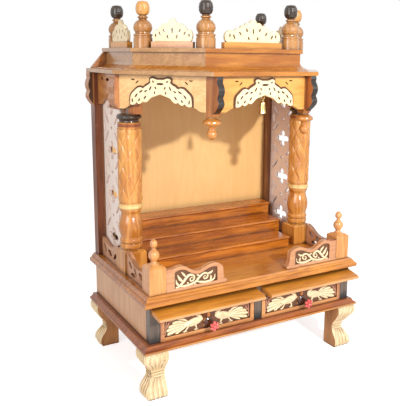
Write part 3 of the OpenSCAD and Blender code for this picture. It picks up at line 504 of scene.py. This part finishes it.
def carve_peacock(shape, place):
    for foot, middle, tip, wide in (((60, 156), (36, 149), (14, 144), 3.6),
                                    ((60, 159), (34, 156), (12, 153.5), 3.4),
                                    ((62, 161), (38, 163), (17, 161.5), 3.3),
                                    ((64, 163), (45, 169), (27, 169.5), 3.2),
                                    ((67, 165), (54, 174), (41, 176.5), 2.8),
                                    ((62, 154), (46, 146), (34, 142.2), 2.6)):
        ribbon(shape, [(*foot, 2), (*middle, wide * 1.15), (tip[0] + 4, tip[1], wide * 1.2), (*tip, 1)], 2.8,
               place)
        dome(shape, tip[0] + 6, tip[1] + 0.1, 2.8, 2.2, 4.1, place)
    ribbon(shape, [(55, 158, 2), (66, 158, 7.4), (80, 160.5, 10.4), (93, 163.5, 9.4), (102, 165, 5),
                   (106, 165.5, 1)], 4.0, place)
    ribbon(shape, [(96, 160, 4), (99, 168, 5.8), (95, 175, 4.4), (90, 180.5, 4.2), (90, 184, 2.8)], 4.2,
           place)
    dome(shape, 91, 183, 5.4, 4.6, 4.4, place)
    ribbon(shape, [(94, 184, 2.4), (102, 183.6, 1.8), (113, 181.5, 0.5)], 3.4, place)
    for n in range(3):
        ribbon(shape, [(88, 186, 0.7), (86 - 2 * n, 190 + n, 0.6), (81 - 3 * n, 193.5 - n, 1.2),
                       (80 - 3 * n, 193.7 - n, 0.3)], 2.6, place)
    for foot, knee, toe in (((68, 154), (64, 147), (57, 139.6)), ((85, 154), (89, 146), (86, 139.6))):
        ribbon(shape, [(*foot, 3.4), (*knee, 1.8), (*toe, 1.6), (toe[0] - 1, toe[1] - 0.4, 0.6)], 3.0, place)
        ribbon(shape, [(toe[0] - 3, 140.4, 0.5), (toe[0] + 2, 141, 1.5), (toe[0] + 9, 140.2, 0.5)], 2.6,
               place)
    for at, up in ((70, 159), (77, 161.5), (84, 164), (73, 155.5), (80, 157.5), (88, 160.5)):
        ribbon(shape, [(at - 4, up - 0.4, 0.5), (at, up + 0.4, 1.6), (at + 5, up + 1.6, 0.4)], 6.0, place,
               sink=-2.4)


def carve_branches(shape, place):
    for sign in (1, -1):
        for stroke in ([(9, 143, 2.2), (10.5, 165, 1.8), (15, 183, 1.8), (30, 195, 2.2), (48, 196, 1.6),
                        (60, 190, 0.8)],
                       [(14, 178, 1.2), (24, 176, 2.6), (36, 182, 3.0), (42, 187, 1)],
                       [(24, 191, 1), (36, 186, 2.6), (50, 184, 2.8), (58, 180, 0.8)],
                       [(9.5, 158, 1), (16, 166, 2.6), (19, 174, 1)],
                       [(58, 190, 1), (66, 183, 2.8), (76, 180, 2.6), (83, 175, 0.8)],
                       [(62, 193, 1), (72, 192, 2.8), (80, 188, 0.8)]):
            ribbon(shape, [(FIELD_MIDDLE + sign * (a - FIELD_MIDDLE), b, c) for a, b, c in stroke], 2.2,
                   place)


def carve_stem(shape, place):
    ribbon(shape, [(FIELD_MIDDLE, 197, 2.6), (120, 186, 3.0), (122, 174, 4.0), (FIELD_MIDDLE, 160, 4.4),
                   (FIELD_MIDDLE, 141, 4.0)], 2.6, place)
    for sign in (1, -1):
        for foot, tip, wide in (((121, 190), (107, 196), 3), ((121.5, 178), (109, 190), 3.4),
                                ((121.5, 160), (107, 157), 4.4), ((121.5, 150), (106, 145), 3.8)):
            leaf = [(*foot, 1.6), ((foot[0] + tip[0]) / 2, (foot[1] + tip[1]) / 2 + 2, wide), (*tip, 0.5)]
            ribbon(shape, [(FIELD_MIDDLE + sign * (a - FIELD_MIDDLE), b, c) for a, b, c in leaf], 2.4, place)


for side in ("left", "right"):
    for name, paint, carve in (("peacocks", cream_paint, carve_peacock),
                               ("branches", branch_paint, carve_branches),
                               ("stem", stem_paint, carve_stem)):
        carving = bmesh.new()
        carve(carving, on_drawer)
        if carve is carve_peacock:
            carve(carving, lambda a, b, w: on_drawer(2 * FIELD_MIDDLE - a, b, w))
        if side == "right":
            for_the_right(carving)
        make_piece(carving, "drawer_%s_%s" % (side, name), [paint], "drawer_" + side)

# Knobs: a dark turned collar and stem with a red flower of six petals, dipped in gloss paint.
def smooth_finish(name, pale, deep, spread, round_edge, corner_shade, corner_shade_tone, pore_rough, plain_rough):
    """Gloss paint or metal, a little uneven, and darker in its corners with painted shade."""
    paint = bpy.data.materials.new(name)
    paint.use_nodes = True
    tree = paint.node_tree
    surface = tree.nodes["Principled BSDF"]
    edges = placed_group(tree, edge_tree, Round=round_edge, Gather=0.004)
    grain = placed_group(tree, grain_tree, Pale=(*pale, 1), Deep=(*deep, 1), Along=spread, Figure=0.8)
    shade = maths(tree, "MULTIPLY", edges.outputs["CornerShade"], corner_shade)
    tree.links.new(blend(tree, shade, grain.outputs["Colour"], (*corner_shade_tone, 1)), surface.inputs["Base Color"])
    rough = maths(tree, "MULTIPLY_ADD", grain.outputs["Pores"], pore_rough, plain_rough)
    tree.links.new(rough, surface.inputs["Roughness"])
    return paint, surface, edges


knob_red, petal_surface, petal_edges = smooth_finish("knob_red", (0.9, 0.17, 0.14), (0.7, 0.06, 0.06),
                                                     (20, 20, 20), 0.0006,
                                                     0.85, (0.22, 0.01, 0.015), 0.15, 0.1)
knob_red.node_tree.links.new(petal_edges.outputs["Normal"], petal_surface.inputs["Normal"])
petal_surface.inputs["Coat Weight"].default_value = 0.8
petal_surface.inputs["Coat Roughness"].default_value = 0.06
collar_wood = wood("collar_wood", (0.1, 0.03, 0.02), (0.03, 0.01, 0.008), "plain", 0.25, 0.8, coat=0.6)
KNOB_UP, PETALS, PETAL_DEPTH, BUD_DEPTH = 155.3, 6, 29.2, 30.4


def on_flower(depth):
    return lambda across, up, out: mm(across, DRAWER_FIELD - depth - out, up)


for sign, side in ((1, "left"), (-1, "right")):
    knob = bmesh.new()
    ring = [knob.verts.new(mm(r, DRAWER_FIELD - out, 0)) for out, r in
            ((0.2, 0.01), (0.2, 13), (2.4, 13), (3.6, 11.6), (4.4, 9), (6, 7.4), (9, 5.8), (17, 5.4),
             (21, 6.4), (24.5, 9), (25, 9.4), (26, 9.4), (26, 0.01))]
    rim = [knob.edges.new(pair) for pair in zip(ring, ring[1:])]
    bmesh.ops.spin(knob, geom=ring + rim, cent=(0, 0, 0), axis=(0, 1, 0), angle=math.tau, steps=40,
                   use_merge=True)
    for n in range(PETALS):
        angle = math.tau * (n + 0.5) / PETALS
        dome(knob, 7.2 * math.cos(angle), 7.2 * math.sin(angle), 5.2, 4.0, 4.2, on_flower(PETAL_DEPTH),
             angle, 1)
    dome(knob, 0, 0, 4.4, 4.4, 5.6, on_flower(BUD_DEPTH), 0, 1)
    bmesh.ops.translate(knob, vec=(sign * DRAWER_MIDDLE / 1000, 0, KNOB_UP / 1000), verts=knob.verts)
    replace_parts(make_piece(knob, "flower_knob_" + side, [collar_wood, knob_red], "drawer_" + side),
                "drawer_%s_knob" % side)

# Steps: three stepped boards with thin nosings, of stained wood with dark streaks. They stand
# on the top board, glued to each other and to the back.
step_wood = wood("step_wood", (0.66, 0.24, 0.03), (0.3, 0.085, 0.012), "x", 0.26, 1.3, coat=0.55, corner_shade=0.9)
dress(step_wood, "step_lower", "step_middle", "step_upper")

# Newels: square posts at the front corners, with a turned bulb and ball, in one piece each.
# They are screwed up through the top board.
newel_wood = wood("newel_wood", (0.85, 0.48, 0.2), (0.58, 0.25, 0.08), "z", 0.27, 0.9, [
    (facing((-1, 0, 0), 0.4, 0.8), (0.78, 0.44, 0.26), (0.56, 0.26, 0.13))], coat=0.5)
dress(newel_wood, "newel_left", "newel_right")

# Front rails: scalloped boards between newel and middle on a stepped strip. Inside a raised
# border their dark ground carries a cream vine of two scrolls with leaves.
rail_wood = wood("rail_wood", (0.74, 0.42, 0.27), (0.5, 0.22, 0.12), "x", 0.3, 0.9)
ground_wood = wood("ground_wood", (0.2, 0.085, 0.025), (0.1, 0.035, 0.012), "x", 0.4, 0.9)
RAIL_FIELD, RAIL_STEP_LENGTH = 21.5, 0.156


def fretted(name, outer, holes, thick, edge=0.5):
    """A board sawn to the outline outer, with the given holes, lying in X and Z round Y = 0."""
    sheet = bpy.data.curves.new(name, "CURVE")
    sheet.dimensions = "2D"
    sheet.fill_mode = "BOTH"
    sheet.extrude = thick / 2000 - edge / 1000
    sheet.bevel_depth = edge / 1000
    sheet.bevel_resolution = 1
    for outline in [outer, *holes]:
        line = sheet.splines.new("POLY")
        line.points.add(len(outline) - 1)
        for point, spot in zip(line.points, outline):
            point.co = (spot[0] / 1000, spot[1] / 1000, 0, 1)
        line.use_cyclic_u = True
    holder = bpy.data.objects.new(name, sheet)
    board = bmesh.new()
    board.from_mesh(holder.to_mesh())
    holder.to_mesh_clear()
    bpy.data.objects.remove(holder)
    bpy.data.curves.remove(sheet)
    bmesh.ops.rotate(board, cent=(0, 0, 0), matrix=Matrix.Rotation(math.pi / 2, 3, "X"), verts=board.verts)
    return board


def moved(shape, x, y, z, turn_by=0.0):
    bmesh.ops.rotate(shape, cent=(0, 0, 0), matrix=Matrix.Rotation(turn_by, 3, "Z"), verts=shape.verts)
    bmesh.ops.translate(shape, vec=mm(x, y, z), verts=shape.verts)
    return shape


def gathered(shapes):
    whole = bmesh.new()
    for shape in shapes:
        part = bpy.data.meshes.new("part")
        shape.to_mesh(part)
        shape.free()
        whole.from_mesh(part)
        bpy.data.meshes.remove(part)
    return whole


def turned_over(outline):
    return [(-a, b) for a, b in outline]


def line_of(points):
    return [tuple(p.xy) for p in eased([(a, b, 0) for a, b in points], 3)]


rail_outline = line_of([(-242, 297), (-224, 297), (-215, 300), (-205, 301), (-195, 299), (-185, 293),
                        (-175, 287), (-165, 284), (-155, 285), (-145, 289), (-135, 293), (-125, 295),
                        (-115, 295), (-105, 291), (-98, 285), (-96, 275), (-95, 262), (-89, 246)])
rail_outline += [(-242, 246)]
rail_ground = line_of([(-221, 289), (-213, 293), (-205, 294), (-195, 292), (-185, 286), (-175, 280),
                       (-165, 277), (-155, 278), (-145, 282), (-135, 286), (-125, 288), (-115, 287),
                       (-111, 284)])
rail_ground += [(-111, 250), (-221, 250)]


def on_rail(across, up, out):
    return mm(-222 + across, RAIL_FIELD - out, 246 + up)


for side in ("left", "right"):
    border = moved(fretted("rail_board", rail_outline, [rail_ground], 6), 0, 21, 0)
    core = moved(fretted("rail_core", rail_outline, [], 10), 0, 27, 0)
    step = bmesh.new()
    ring = [step.verts.new(mm(-242, y, z)) for y, z in
            ((16, 245), (16, 247.5), (17.5, 248.5), (18.5, 250), (18.5, 252), (34, 252), (34, 245))]
    made = bmesh.ops.extrude_face_region(step, geom=[step.faces.new(ring)])["geom"]
    bmesh.ops.translate(step, vec=(RAIL_STEP_LENGTH, 0, 0),
                        verts=[item for item in made if isinstance(item, bmesh.types.BMVert)])
    ground = moved(fretted("rail_ground", rail_ground, [], 0.6, 0.1), 0, 21.9, 0)
    vine = bmesh.new()
    for stroke in ([(4, 6, 1.4), (14, 8.5, 2.8), (24, 17, 3.2), (34, 28, 3.2), (44, 31, 3.0), (51, 25, 2.8),
                    (49, 17, 2.4), (42, 16, 2.0), (41, 22, 1.4), (44, 24, 0.6)],
                   [(14, 8.5, 1.6), (27, 6.5, 2.8), (42, 8, 3.0), (56, 13, 3.0), (66, 23, 2.8), (76, 29, 2.6),
                    (85, 26, 2.4), (85, 18, 2.2), (78, 15, 1.9), (75, 20, 1.4), (78, 22, 0.6)],
                   [(56, 13, 1.4), (68, 9, 2.8), (82, 7, 2.8), (98, 9, 2.4), (104, 14, 1.6), (105, 22, 0.6)]):
        ribbon(vine, stroke, 3.2, on_rail)
    for foot, middle, tip, wide in (((24, 17), (16, 24), (9, 36), 3.6), ((16, 9), (8, 15), (5, 26), 3.0),
                                    ((31, 26), (25, 34), (19, 41), 2.8), ((66, 24), (60, 27), (57, 29), 2.4),
                                    ((84, 27), (93, 27), (100, 32), 2.8),
                                    ((92, 8), (95, 16), (92, 22), 2.6), ((47, 9), (54, 6), (60, 5), 2.0)):
        ribbon(vine, [(*foot, 0.9), (*middle, wide), (*tip, 0.5)], 2.8, on_rail)
    for across, up in ((44.6, 24.4), (78.6, 22.4), (35, 12.5)):
        dome(vine, across, up, 2.4, 2.4, 4, on_rail)
    board = gathered([border, core, step])
    if side == "right":
        for_the_right(board, ground, vine)
    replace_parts(make_piece(board, "rail_board_" + side, [rail_wood], "shrine", smooth=False),
                "front_rail_" + side)
    make_piece(ground, "rail_ground_" + side, [ground_wood], "shrine", smooth=False)
    make_piece(vine, "rail_vine_" + side, [cream_paint], "shrine")

# Side rails: low pierced boards of reddish wood between newel, pillar and back post, glued into
# grooves in them.
side_rail_wood = wood("side_rail_wood", (0.66, 0.4, 0.3), (0.46, 0.22, 0.14), "y", 0.34, 0.9, corner_shade=0.9)
dress(side_rail_wood, "side_rails")

# Pillars: a chamfered pedestal and a turned vase in one, under a shaft carved all round with
# tall lozenges, each with a smaller one raised inside it, and a cream ring at its foot.
pillar_wood = wood("pillar_wood", (0.78, 0.4, 0.11), (0.42, 0.14, 0.025), "z", 0.24, 1.1, [
    (both_masks(beyond((0, 0, 1), 0.4005, 0.4025), beyond((0, 0, -1), -0.4145, -0.4125)), (0.92, 0.74, 0.42),
     (0.75, 0.52, 0.24)),
    (both_masks(beyond((0, 0, 1), 0.5965, 0.5985), beyond((0, 0, -1), -0.606, -0.604)), (0.36, 0.1, 0.03),
     (0.2, 0.05, 0.015)),
    (beyond((0, 0, 1), 0.6075, 0.6095), (0.05, 0.03, 0.022), (0.02, 0.012, 0.01))], coat=0.6)
dress(pillar_wood, "pillar_left", "pillar_right")
# The lozenges get a strong painted highlight on their edges and deep painted shade in their hollows.
shaft_wood = wood("shaft_wood", (0.84, 0.46, 0.14), (0.5, 0.18, 0.035), "z", 0.24, 1.0, (), 0.95,
                  (0.1, 0.03, 0.008), 0.6, 0.6, gather=0.006)
PILLAR_ACROSS, PILLAR_DEPTH, SHAFT_RADIUS, SHAFT_FOOT = 250, 200, 27, 415
CARVED_LOW, CARVED_HIGH, HALF_DIAGONAL = 415.8, 596.2, 0.7071
LOZENGE_ROWS, LOZENGES_ROUND, ROW_STEP = range(-1, 8), 6, 26
lozenge_steps = ((1.0, -0.6), (0.94, 0.9), (0.8, 1.5), (0.62, 1.5), (0.52, 0.3), (0.46, 1.6), (0.0, 2.4))
for sign, side in ((-1, "left"), (1, "right")):
    lattice = bmesh.new()
    for row in LOZENGE_ROWS:
        for column in range(LOZENGES_ROUND):
            made = bmesh.ops.create_grid(lattice, x_segments=10, y_segments=10, size=0.5)["verts"]
            bmesh.ops.rotate(lattice, cent=(0, 0, 0), matrix=Matrix.Rotation(math.pi / 4, 3, "Z"), verts=made)
            centre_up = SHAFT_FOOT + ROW_STEP * (row + 0.5)
            turned_by = (column + (0.5 if row % 2 else 0)) * math.tau / LOZENGES_ROUND
            spare = []
            for vert in made:
                across, up = vert.co.x / HALF_DIAGONAL, vert.co.y / HALF_DIAGONAL
                far = abs(across) + abs(up)
                lift = 0.0
                for at, rise in lozenge_steps:
                    if far <= at + 1e-6:
                        lift = rise
                angle = turned_by + across * 0.97 * math.pi / LOZENGES_ROUND
                height = centre_up + up * 25.3
                if not CARVED_LOW <= height <= CARVED_HIGH:
                    spare.append(vert)
                reach = SHAFT_RADIUS + lift
                vert.co = mm(sign * PILLAR_ACROSS + reach * math.sin(angle),
                             PILLAR_DEPTH - reach * math.cos(angle), height)
            bmesh.ops.delete(lattice, geom=spare, context="VERTS")
    make_piece(lattice, "lozenges_" + side, [shaft_wood], "shrine", smooth=False)

# Back: two dark posts each side, which stand on the top board, and a thin pale plywood panel
# let into grooves between them.
post_wood = wood("post_wood", (0.4, 0.19, 0.075), (0.16, 0.055, 0.02), "z", 0.32, 1.0, [
    *((beyond((way, 0, 0), 0.2655, 0.2665), (0.28, 0.08, 0.03), (0.09, 0.025, 0.01)) for way in (-1, 1))])
dress(post_wood, "back_posts")
panel_wood = wood("panel_wood", (0.92, 0.68, 0.38), (0.84, 0.55, 0.26), "z", 0.42, 0.6, corner_shade=0.55, coat=0.2,
                  gather=0.03)
dress(panel_wood, "back_panel")

# Canopy: posts behind the bay's corners, an arched panel in front and on each slant, cream
# fretted trims glued on over thin dark sheets that paint the shade of the gap round each trim,
# scalloped valances and brackets, and drops.
canopy_wood = wood("canopy_wood", (0.5, 0.2, 0.05), (0.26, 0.08, 0.018), "z", 0.3, 1.0)
dress(canopy_wood, "canopy_posts")
arch_wood = wood("arch_wood", (0.92, 0.54, 0.19), (0.66, 0.31, 0.075), "x", 0.27, 0.9, coat=0.5)
# The slant panels are a paler, pinker copy of the arch wood: painted light.
slant_lit_wood = wood("slant_lit_wood", (0.9, 0.66, 0.42), (0.7, 0.42, 0.2), "x", 0.27, 0.9, coat=0.5)
# Near-black wood for the sheets behind the trims: painted shade.
trim_shadow_wood = wood("trim_shadow_wood", (0.16, 0.06, 0.02), (0.07, 0.025, 0.01), "x", 0.5, 0.8, coat=0.0)
ARCH_FOOT, ARCH_TALL, ARCH_HALF, TRIM_HALF, TRIM_MIDDLE_UP = 641, 78, 78, 75, 58


def leaf_hole(across, up, angle, length, width):
    c, s = math.cos(math.radians(angle)), math.sin(math.radians(angle))
    half = [(length / 2 * math.cos(t * math.pi / 5), width / 2 * math.sin(t * math.pi / 5))
            for t in range(10)]
    return [(across + a * c - b * s, up + a * s + b * c) for a, b in half]


def leaf_pairs(leaves, width, shrink=1.0):
    return [leaf_hole(sign * a * shrink, b, 90 + sign * (tilt - 90), length, width)
            for sign in (1, -1) for a, b, tilt, length in leaves]


def arch_board(left_end, right_end):
    bow = line_of([(78, 9), (65.5, 10.6), (53, 15), (39, 21), (27, 27), (15, 31.5), (6, 34), (0, 36)])
    right_foot, left_foot = right_end - ARCH_HALF, left_end + ARCH_HALF
    outline = [(right_end, ARCH_TALL), (right_end, 0), (right_end - right_foot * 0.4, 0),
               (right_end - right_foot * 0.57, 3), (right_end - right_foot * 0.77, 7)]
    outline += bow + turned_over(bow[:-1])[::-1]
    outline += [(left_end - left_foot * 0.77, 7), (left_end - left_foot * 0.57, 3),
                (left_end - left_foot * 0.4, 0), (left_end, 0), (left_end, ARCH_TALL)]
    return fretted("arch_board", outline, leaf_pairs(((73, 66.5, 0, 12), (62, 61, 140, 12)), 4), 12)


def whole_trim(name, right, slots, thick, edge):
    right = [(a * TRIM_HALF / ARCH_HALF, b) for a, b in right]
    return fretted(name, right + turned_over(right[1:-1])[::-1], slots, thick, edge)


def arch_trim():
    low = line_of([(0, 36), (10, 32.5), (20, 29.5), (27, 26), (33, 20), (40, 16.5), (46, 18.5), (52, 14),
                   (58, 12.5), (62, 16), (68, 12), (74, 10), (80, 11)])
    high = line_of([(79, 26), (76, 34), (68, 41), (60, 47.5), (52, 49), (46, 47), (38, 52), (30, 56),
                    (25, 61), (26, 67), (20, 70), (9, 67), (0, 67)])
    slots = leaf_pairs(((74.5, 20, 80, 11), (64, 31, 130, 13), (56, 21.5, 125, 9), (51, 40.5, 150, 12),
                        (40, 27.5, 130, 11),
                        (38, 41.5, 150, 9), (26, 48, 120, 13), (14.5, 38.5, 100, 8), (12, 49, 60, 8),
                        (18.5, 63, 45, 7)), 4.6, TRIM_HALF / ARCH_HALF)
    return whole_trim("arch_trim", low + high, slots + [leaf_hole(0, TRIM_MIDDLE_UP, 0, 20, 6)], 4, 0.5)


# A thin dark sheet a little larger than a trim, laid behind it as painted shade of the gap round it.
def trim_shadow_sheet():
    low = line_of([(0, 37), (15, 32), (27, 28), (39, 22), (53, 16), (65.5, 11.6), (78, 10)])
    high = line_of([(84, 8), (84, 27), (80, 37), (71, 45), (62, 52), (53, 53.5), (47, 52), (40.5, 57),
                    (33.5, 60), (30, 63), (30.5, 70), (21, 74.5), (9, 71.5), (0, 71.5)])
    return whole_trim("trim_shadow_sheet", low + high, [], 0.8, 0.1)


slant_start, slant_run = Vector((-274, 196)), Vector((143, -188))
slant_turn = math.atan2(-slant_run.y, slant_run.x)
slant_along = slant_run.normalized()
slant_out = Vector((slant_run.y, -slant_run.x)).normalized()


def on_slant(shape, along, out):
    spot = slant_start + slant_along * along + slant_out * out
    return moved(shape, spot.x, spot.y, ARCH_FOOT, -slant_turn)


arch = make_piece(moved(arch_board(-113, 113), 0, 14, ARCH_FOOT), "arch_board_front", [arch_wood], "shrine",
                  False)
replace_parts(arch, "arch_front")
trims, trim_shadows = [moved(arch_trim(), 0, 5.6, ARCH_FOOT)], [moved(trim_shadow_sheet(), 0, 7.8, ARCH_FOOT)]
for side in ("left", "right"):
    panel = on_slant(arch_board(-109, 109.2), 109, -6)
    trim, trim_shadow = on_slant(arch_trim(), 108, 2.4), on_slant(trim_shadow_sheet(), 108, 0.2)
    if side == "right":
        for_the_right(panel, trim, trim_shadow)
    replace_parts(make_piece(panel, "arch_board_" + side, [slant_lit_wood], "shrine", False),
                "arch_" + side)
    trims.append(trim)
    trim_shadows.append(trim_shadow)
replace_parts(make_piece(gathered(trims), "arch_trim_boards", [cream_paint], "shrine", False),
            "arch_trims")
make_piece(gathered(trim_shadows), "trim_shadow_sheets", [trim_shadow_wood], "shrine", False)
valance_wood = wood("valance_wood", (0.6, 0.27, 0.09), (0.34, 0.12, 0.03), "y", 0.3, 1.0)
dress(valance_wood, "side_valances")
bracket_wood = wood("bracket_wood", (0.5, 0.17, 0.06), (0.28, 0.08, 0.025), "z", 0.3, 1.0, [
    (facing((0, -1, 0), 0.05, 0.3), (0.03, 0.02, 0.016), (0.012, 0.009, 0.008))], wear_and_highlight=0.1)
dress(bracket_wood, "bay_brackets")
side_bracket_wood = wood("side_bracket_wood", (0.62, 0.28, 0.11), (0.36, 0.13, 0.045), "z", 0.3, 1.0, [
    (both_masks(beyond((-1, 0, 0), 0.285, 0.2875), facing((0, -1, 0), 0.4, 0.8)), (0.1, 0.05, 0.03),
     (0.05, 0.02, 0.012))])
dress(side_bracket_wood, "side_brackets")
drop_wood = wood("drop_wood", (0.72, 0.33, 0.09), (0.42, 0.15, 0.03), "z", 0.25, 1.0, coat=0.6)
dress(drop_wood, "pendants")

# Pierced side screens: thin painted boards behind the pillars, sawn through in a diamond lattice
# with a large quatrefoil in each diamond, and let into grooves in post and pillar.
screen_paint = wood("screen_paint", (0.94, 0.82, 0.75), (0.84, 0.68, 0.6), "z", 0.42, 0.7, coat=0.12,
                    corner_shade_tone=(0.2, 0.08, 0.05), gather=0.006)
SCREEN_HALF, SCREEN_THICK, SCREEN_ACROSS, SCREEN_DEPTH, SCREEN_MARGIN = 57.5, 8, 258, 287.5, 3
DIAMOND_STEP, diamond_middles = 111, (308, 419, 530, 641)
screen_heights = [corner.co.z * 1000 for corner in bpy.data.objects["jali_left"].data.vertices]
screen_low, screen_high = min(screen_heights), max(screen_heights)
lobes = [(t * math.pi / 16, abs(math.cos(t * math.pi / 8)) ** 0.8) for t in range(32)]
quatrefoil = [(math.cos(angle) * (13 + 18 * lobe), math.sin(angle) * (11 + 13 * lobe)) for angle,
              lobe in lobes]
lattice = []
for middle in diamond_middles:
    between = middle - DIAMOND_STEP / 2
    lattice.append([(a, middle + b) for a, b in quatrefoil])
    lattice += [leaf_hole(a * 34, middle + b * 32, -44 * a * b, 43, 11) for a in (1, -1) for b in (1, -1)]
    lattice += [leaf_hole(a * 44, between, 90, 30, 11) for a in (1, -1)]
    lattice.append(leaf_hole(0, between, 0, 15, 9))
lattice = [hole for hole in lattice if min(b for a, b in hole) > screen_low + SCREEN_MARGIN
           and max(b for a, b in hole) < screen_high - SCREEN_MARGIN]
screen_outline = [(-SCREEN_HALF, screen_low), (SCREEN_HALF, screen_low), (SCREEN_HALF, screen_high),
                  (-SCREEN_HALF, screen_high)]
for side, x in (("left", -SCREEN_ACROSS), ("right", SCREEN_ACROSS)):
    screen = moved(fretted("screen", screen_outline, lattice, SCREEN_THICK), x, SCREEN_DEPTH, 0, math.pi / 2)
    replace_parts(make_piece(screen, "pierced_screen_" + side, [screen_paint], "shrine",
                           smooth=False),
                "jali_" + side)

# Roof: a slab, a coved cornice, a roof board and a sloped back board, golden in front.
# The boards that run back along the slants, and the sides, get cooler, pinker colours as painted light and
# shade.
side_light_zones = [(facing((-0.9, -0.44, 0), 0.55, 0.8), (0.56, 0.34, 0.18), (0.36, 0.19, 0.09)),
             (facing((0.9, -0.44, 0), 0.55, 0.8), (0.56, 0.3, 0.12), (0.36, 0.17, 0.06))]
roof_wood = wood("roof_wood", (0.62, 0.27, 0.05), (0.34, 0.11, 0.015), "x", 0.25, 1.1, side_light_zones, coat=0.6)
dress(roof_wood, "canopy_slab", "cornice", "roof_board")
dress(wood("roof_back_wood", (0.5, 0.22, 0.07), (0.28, 0.09, 0.02), "x", 0.36, 1.0), "roof_back_board")

# Finials: turned from one piece each, dark at the foot, with a pale ball on the outer pair and
# black balls on the others.
on_ball = beyond((0, 0, 1), 0.849, 0.8505)
finial_wood = wood("finial_wood", (0.62, 0.34, 0.14), (0.34, 0.14, 0.04), "z", 0.24, 1.0, [
    (on_ball, (0.05, 0.03, 0.02), (0.02, 0.012, 0.01)),
    (both_masks(on_ball, beyond((0, 1, 0), -0.03, -0.025), beyond((0, -1, 0), -0.06, -0.05)),
     (0.85, 0.5, 0.2), (0.6, 0.28, 0.08))], coat=0.6)
dress(finial_wood, "finials")

# Crests: fretted boards painted cream, pegged into moulded blocks of golden wood that are glued
# to the roof board between the finials.
# The blocks' faces turned to the left front are paler and pinker: painted light.
block_wood = wood("block_wood", (0.86, 0.46, 0.14), (0.58, 0.24, 0.05), "x", 0.28, 0.9, [
    (facing((-0.8, -0.6, 0), 0.8, 0.95), (0.8, 0.5, 0.34), (0.6, 0.3, 0.18))])
dress(block_wood, "crest_blocks")
dress(cream_paint, "crests")

# Bell: a small cast brass bell, hung by its loop on a brass staple in the front arch so that it
# swings freely.
brass, brass_surface, _ = smooth_finish("brass", (0.9, 0.7, 0.34), (0.72, 0.48, 0.18), (30, 30, 30), 0.0004,
                                        0.6, (0.3, 0.16, 0.04), 0.2, 0.14)
brass_surface.inputs["Metallic"].default_value = 1
dress(brass, "bell", "bell_hook")
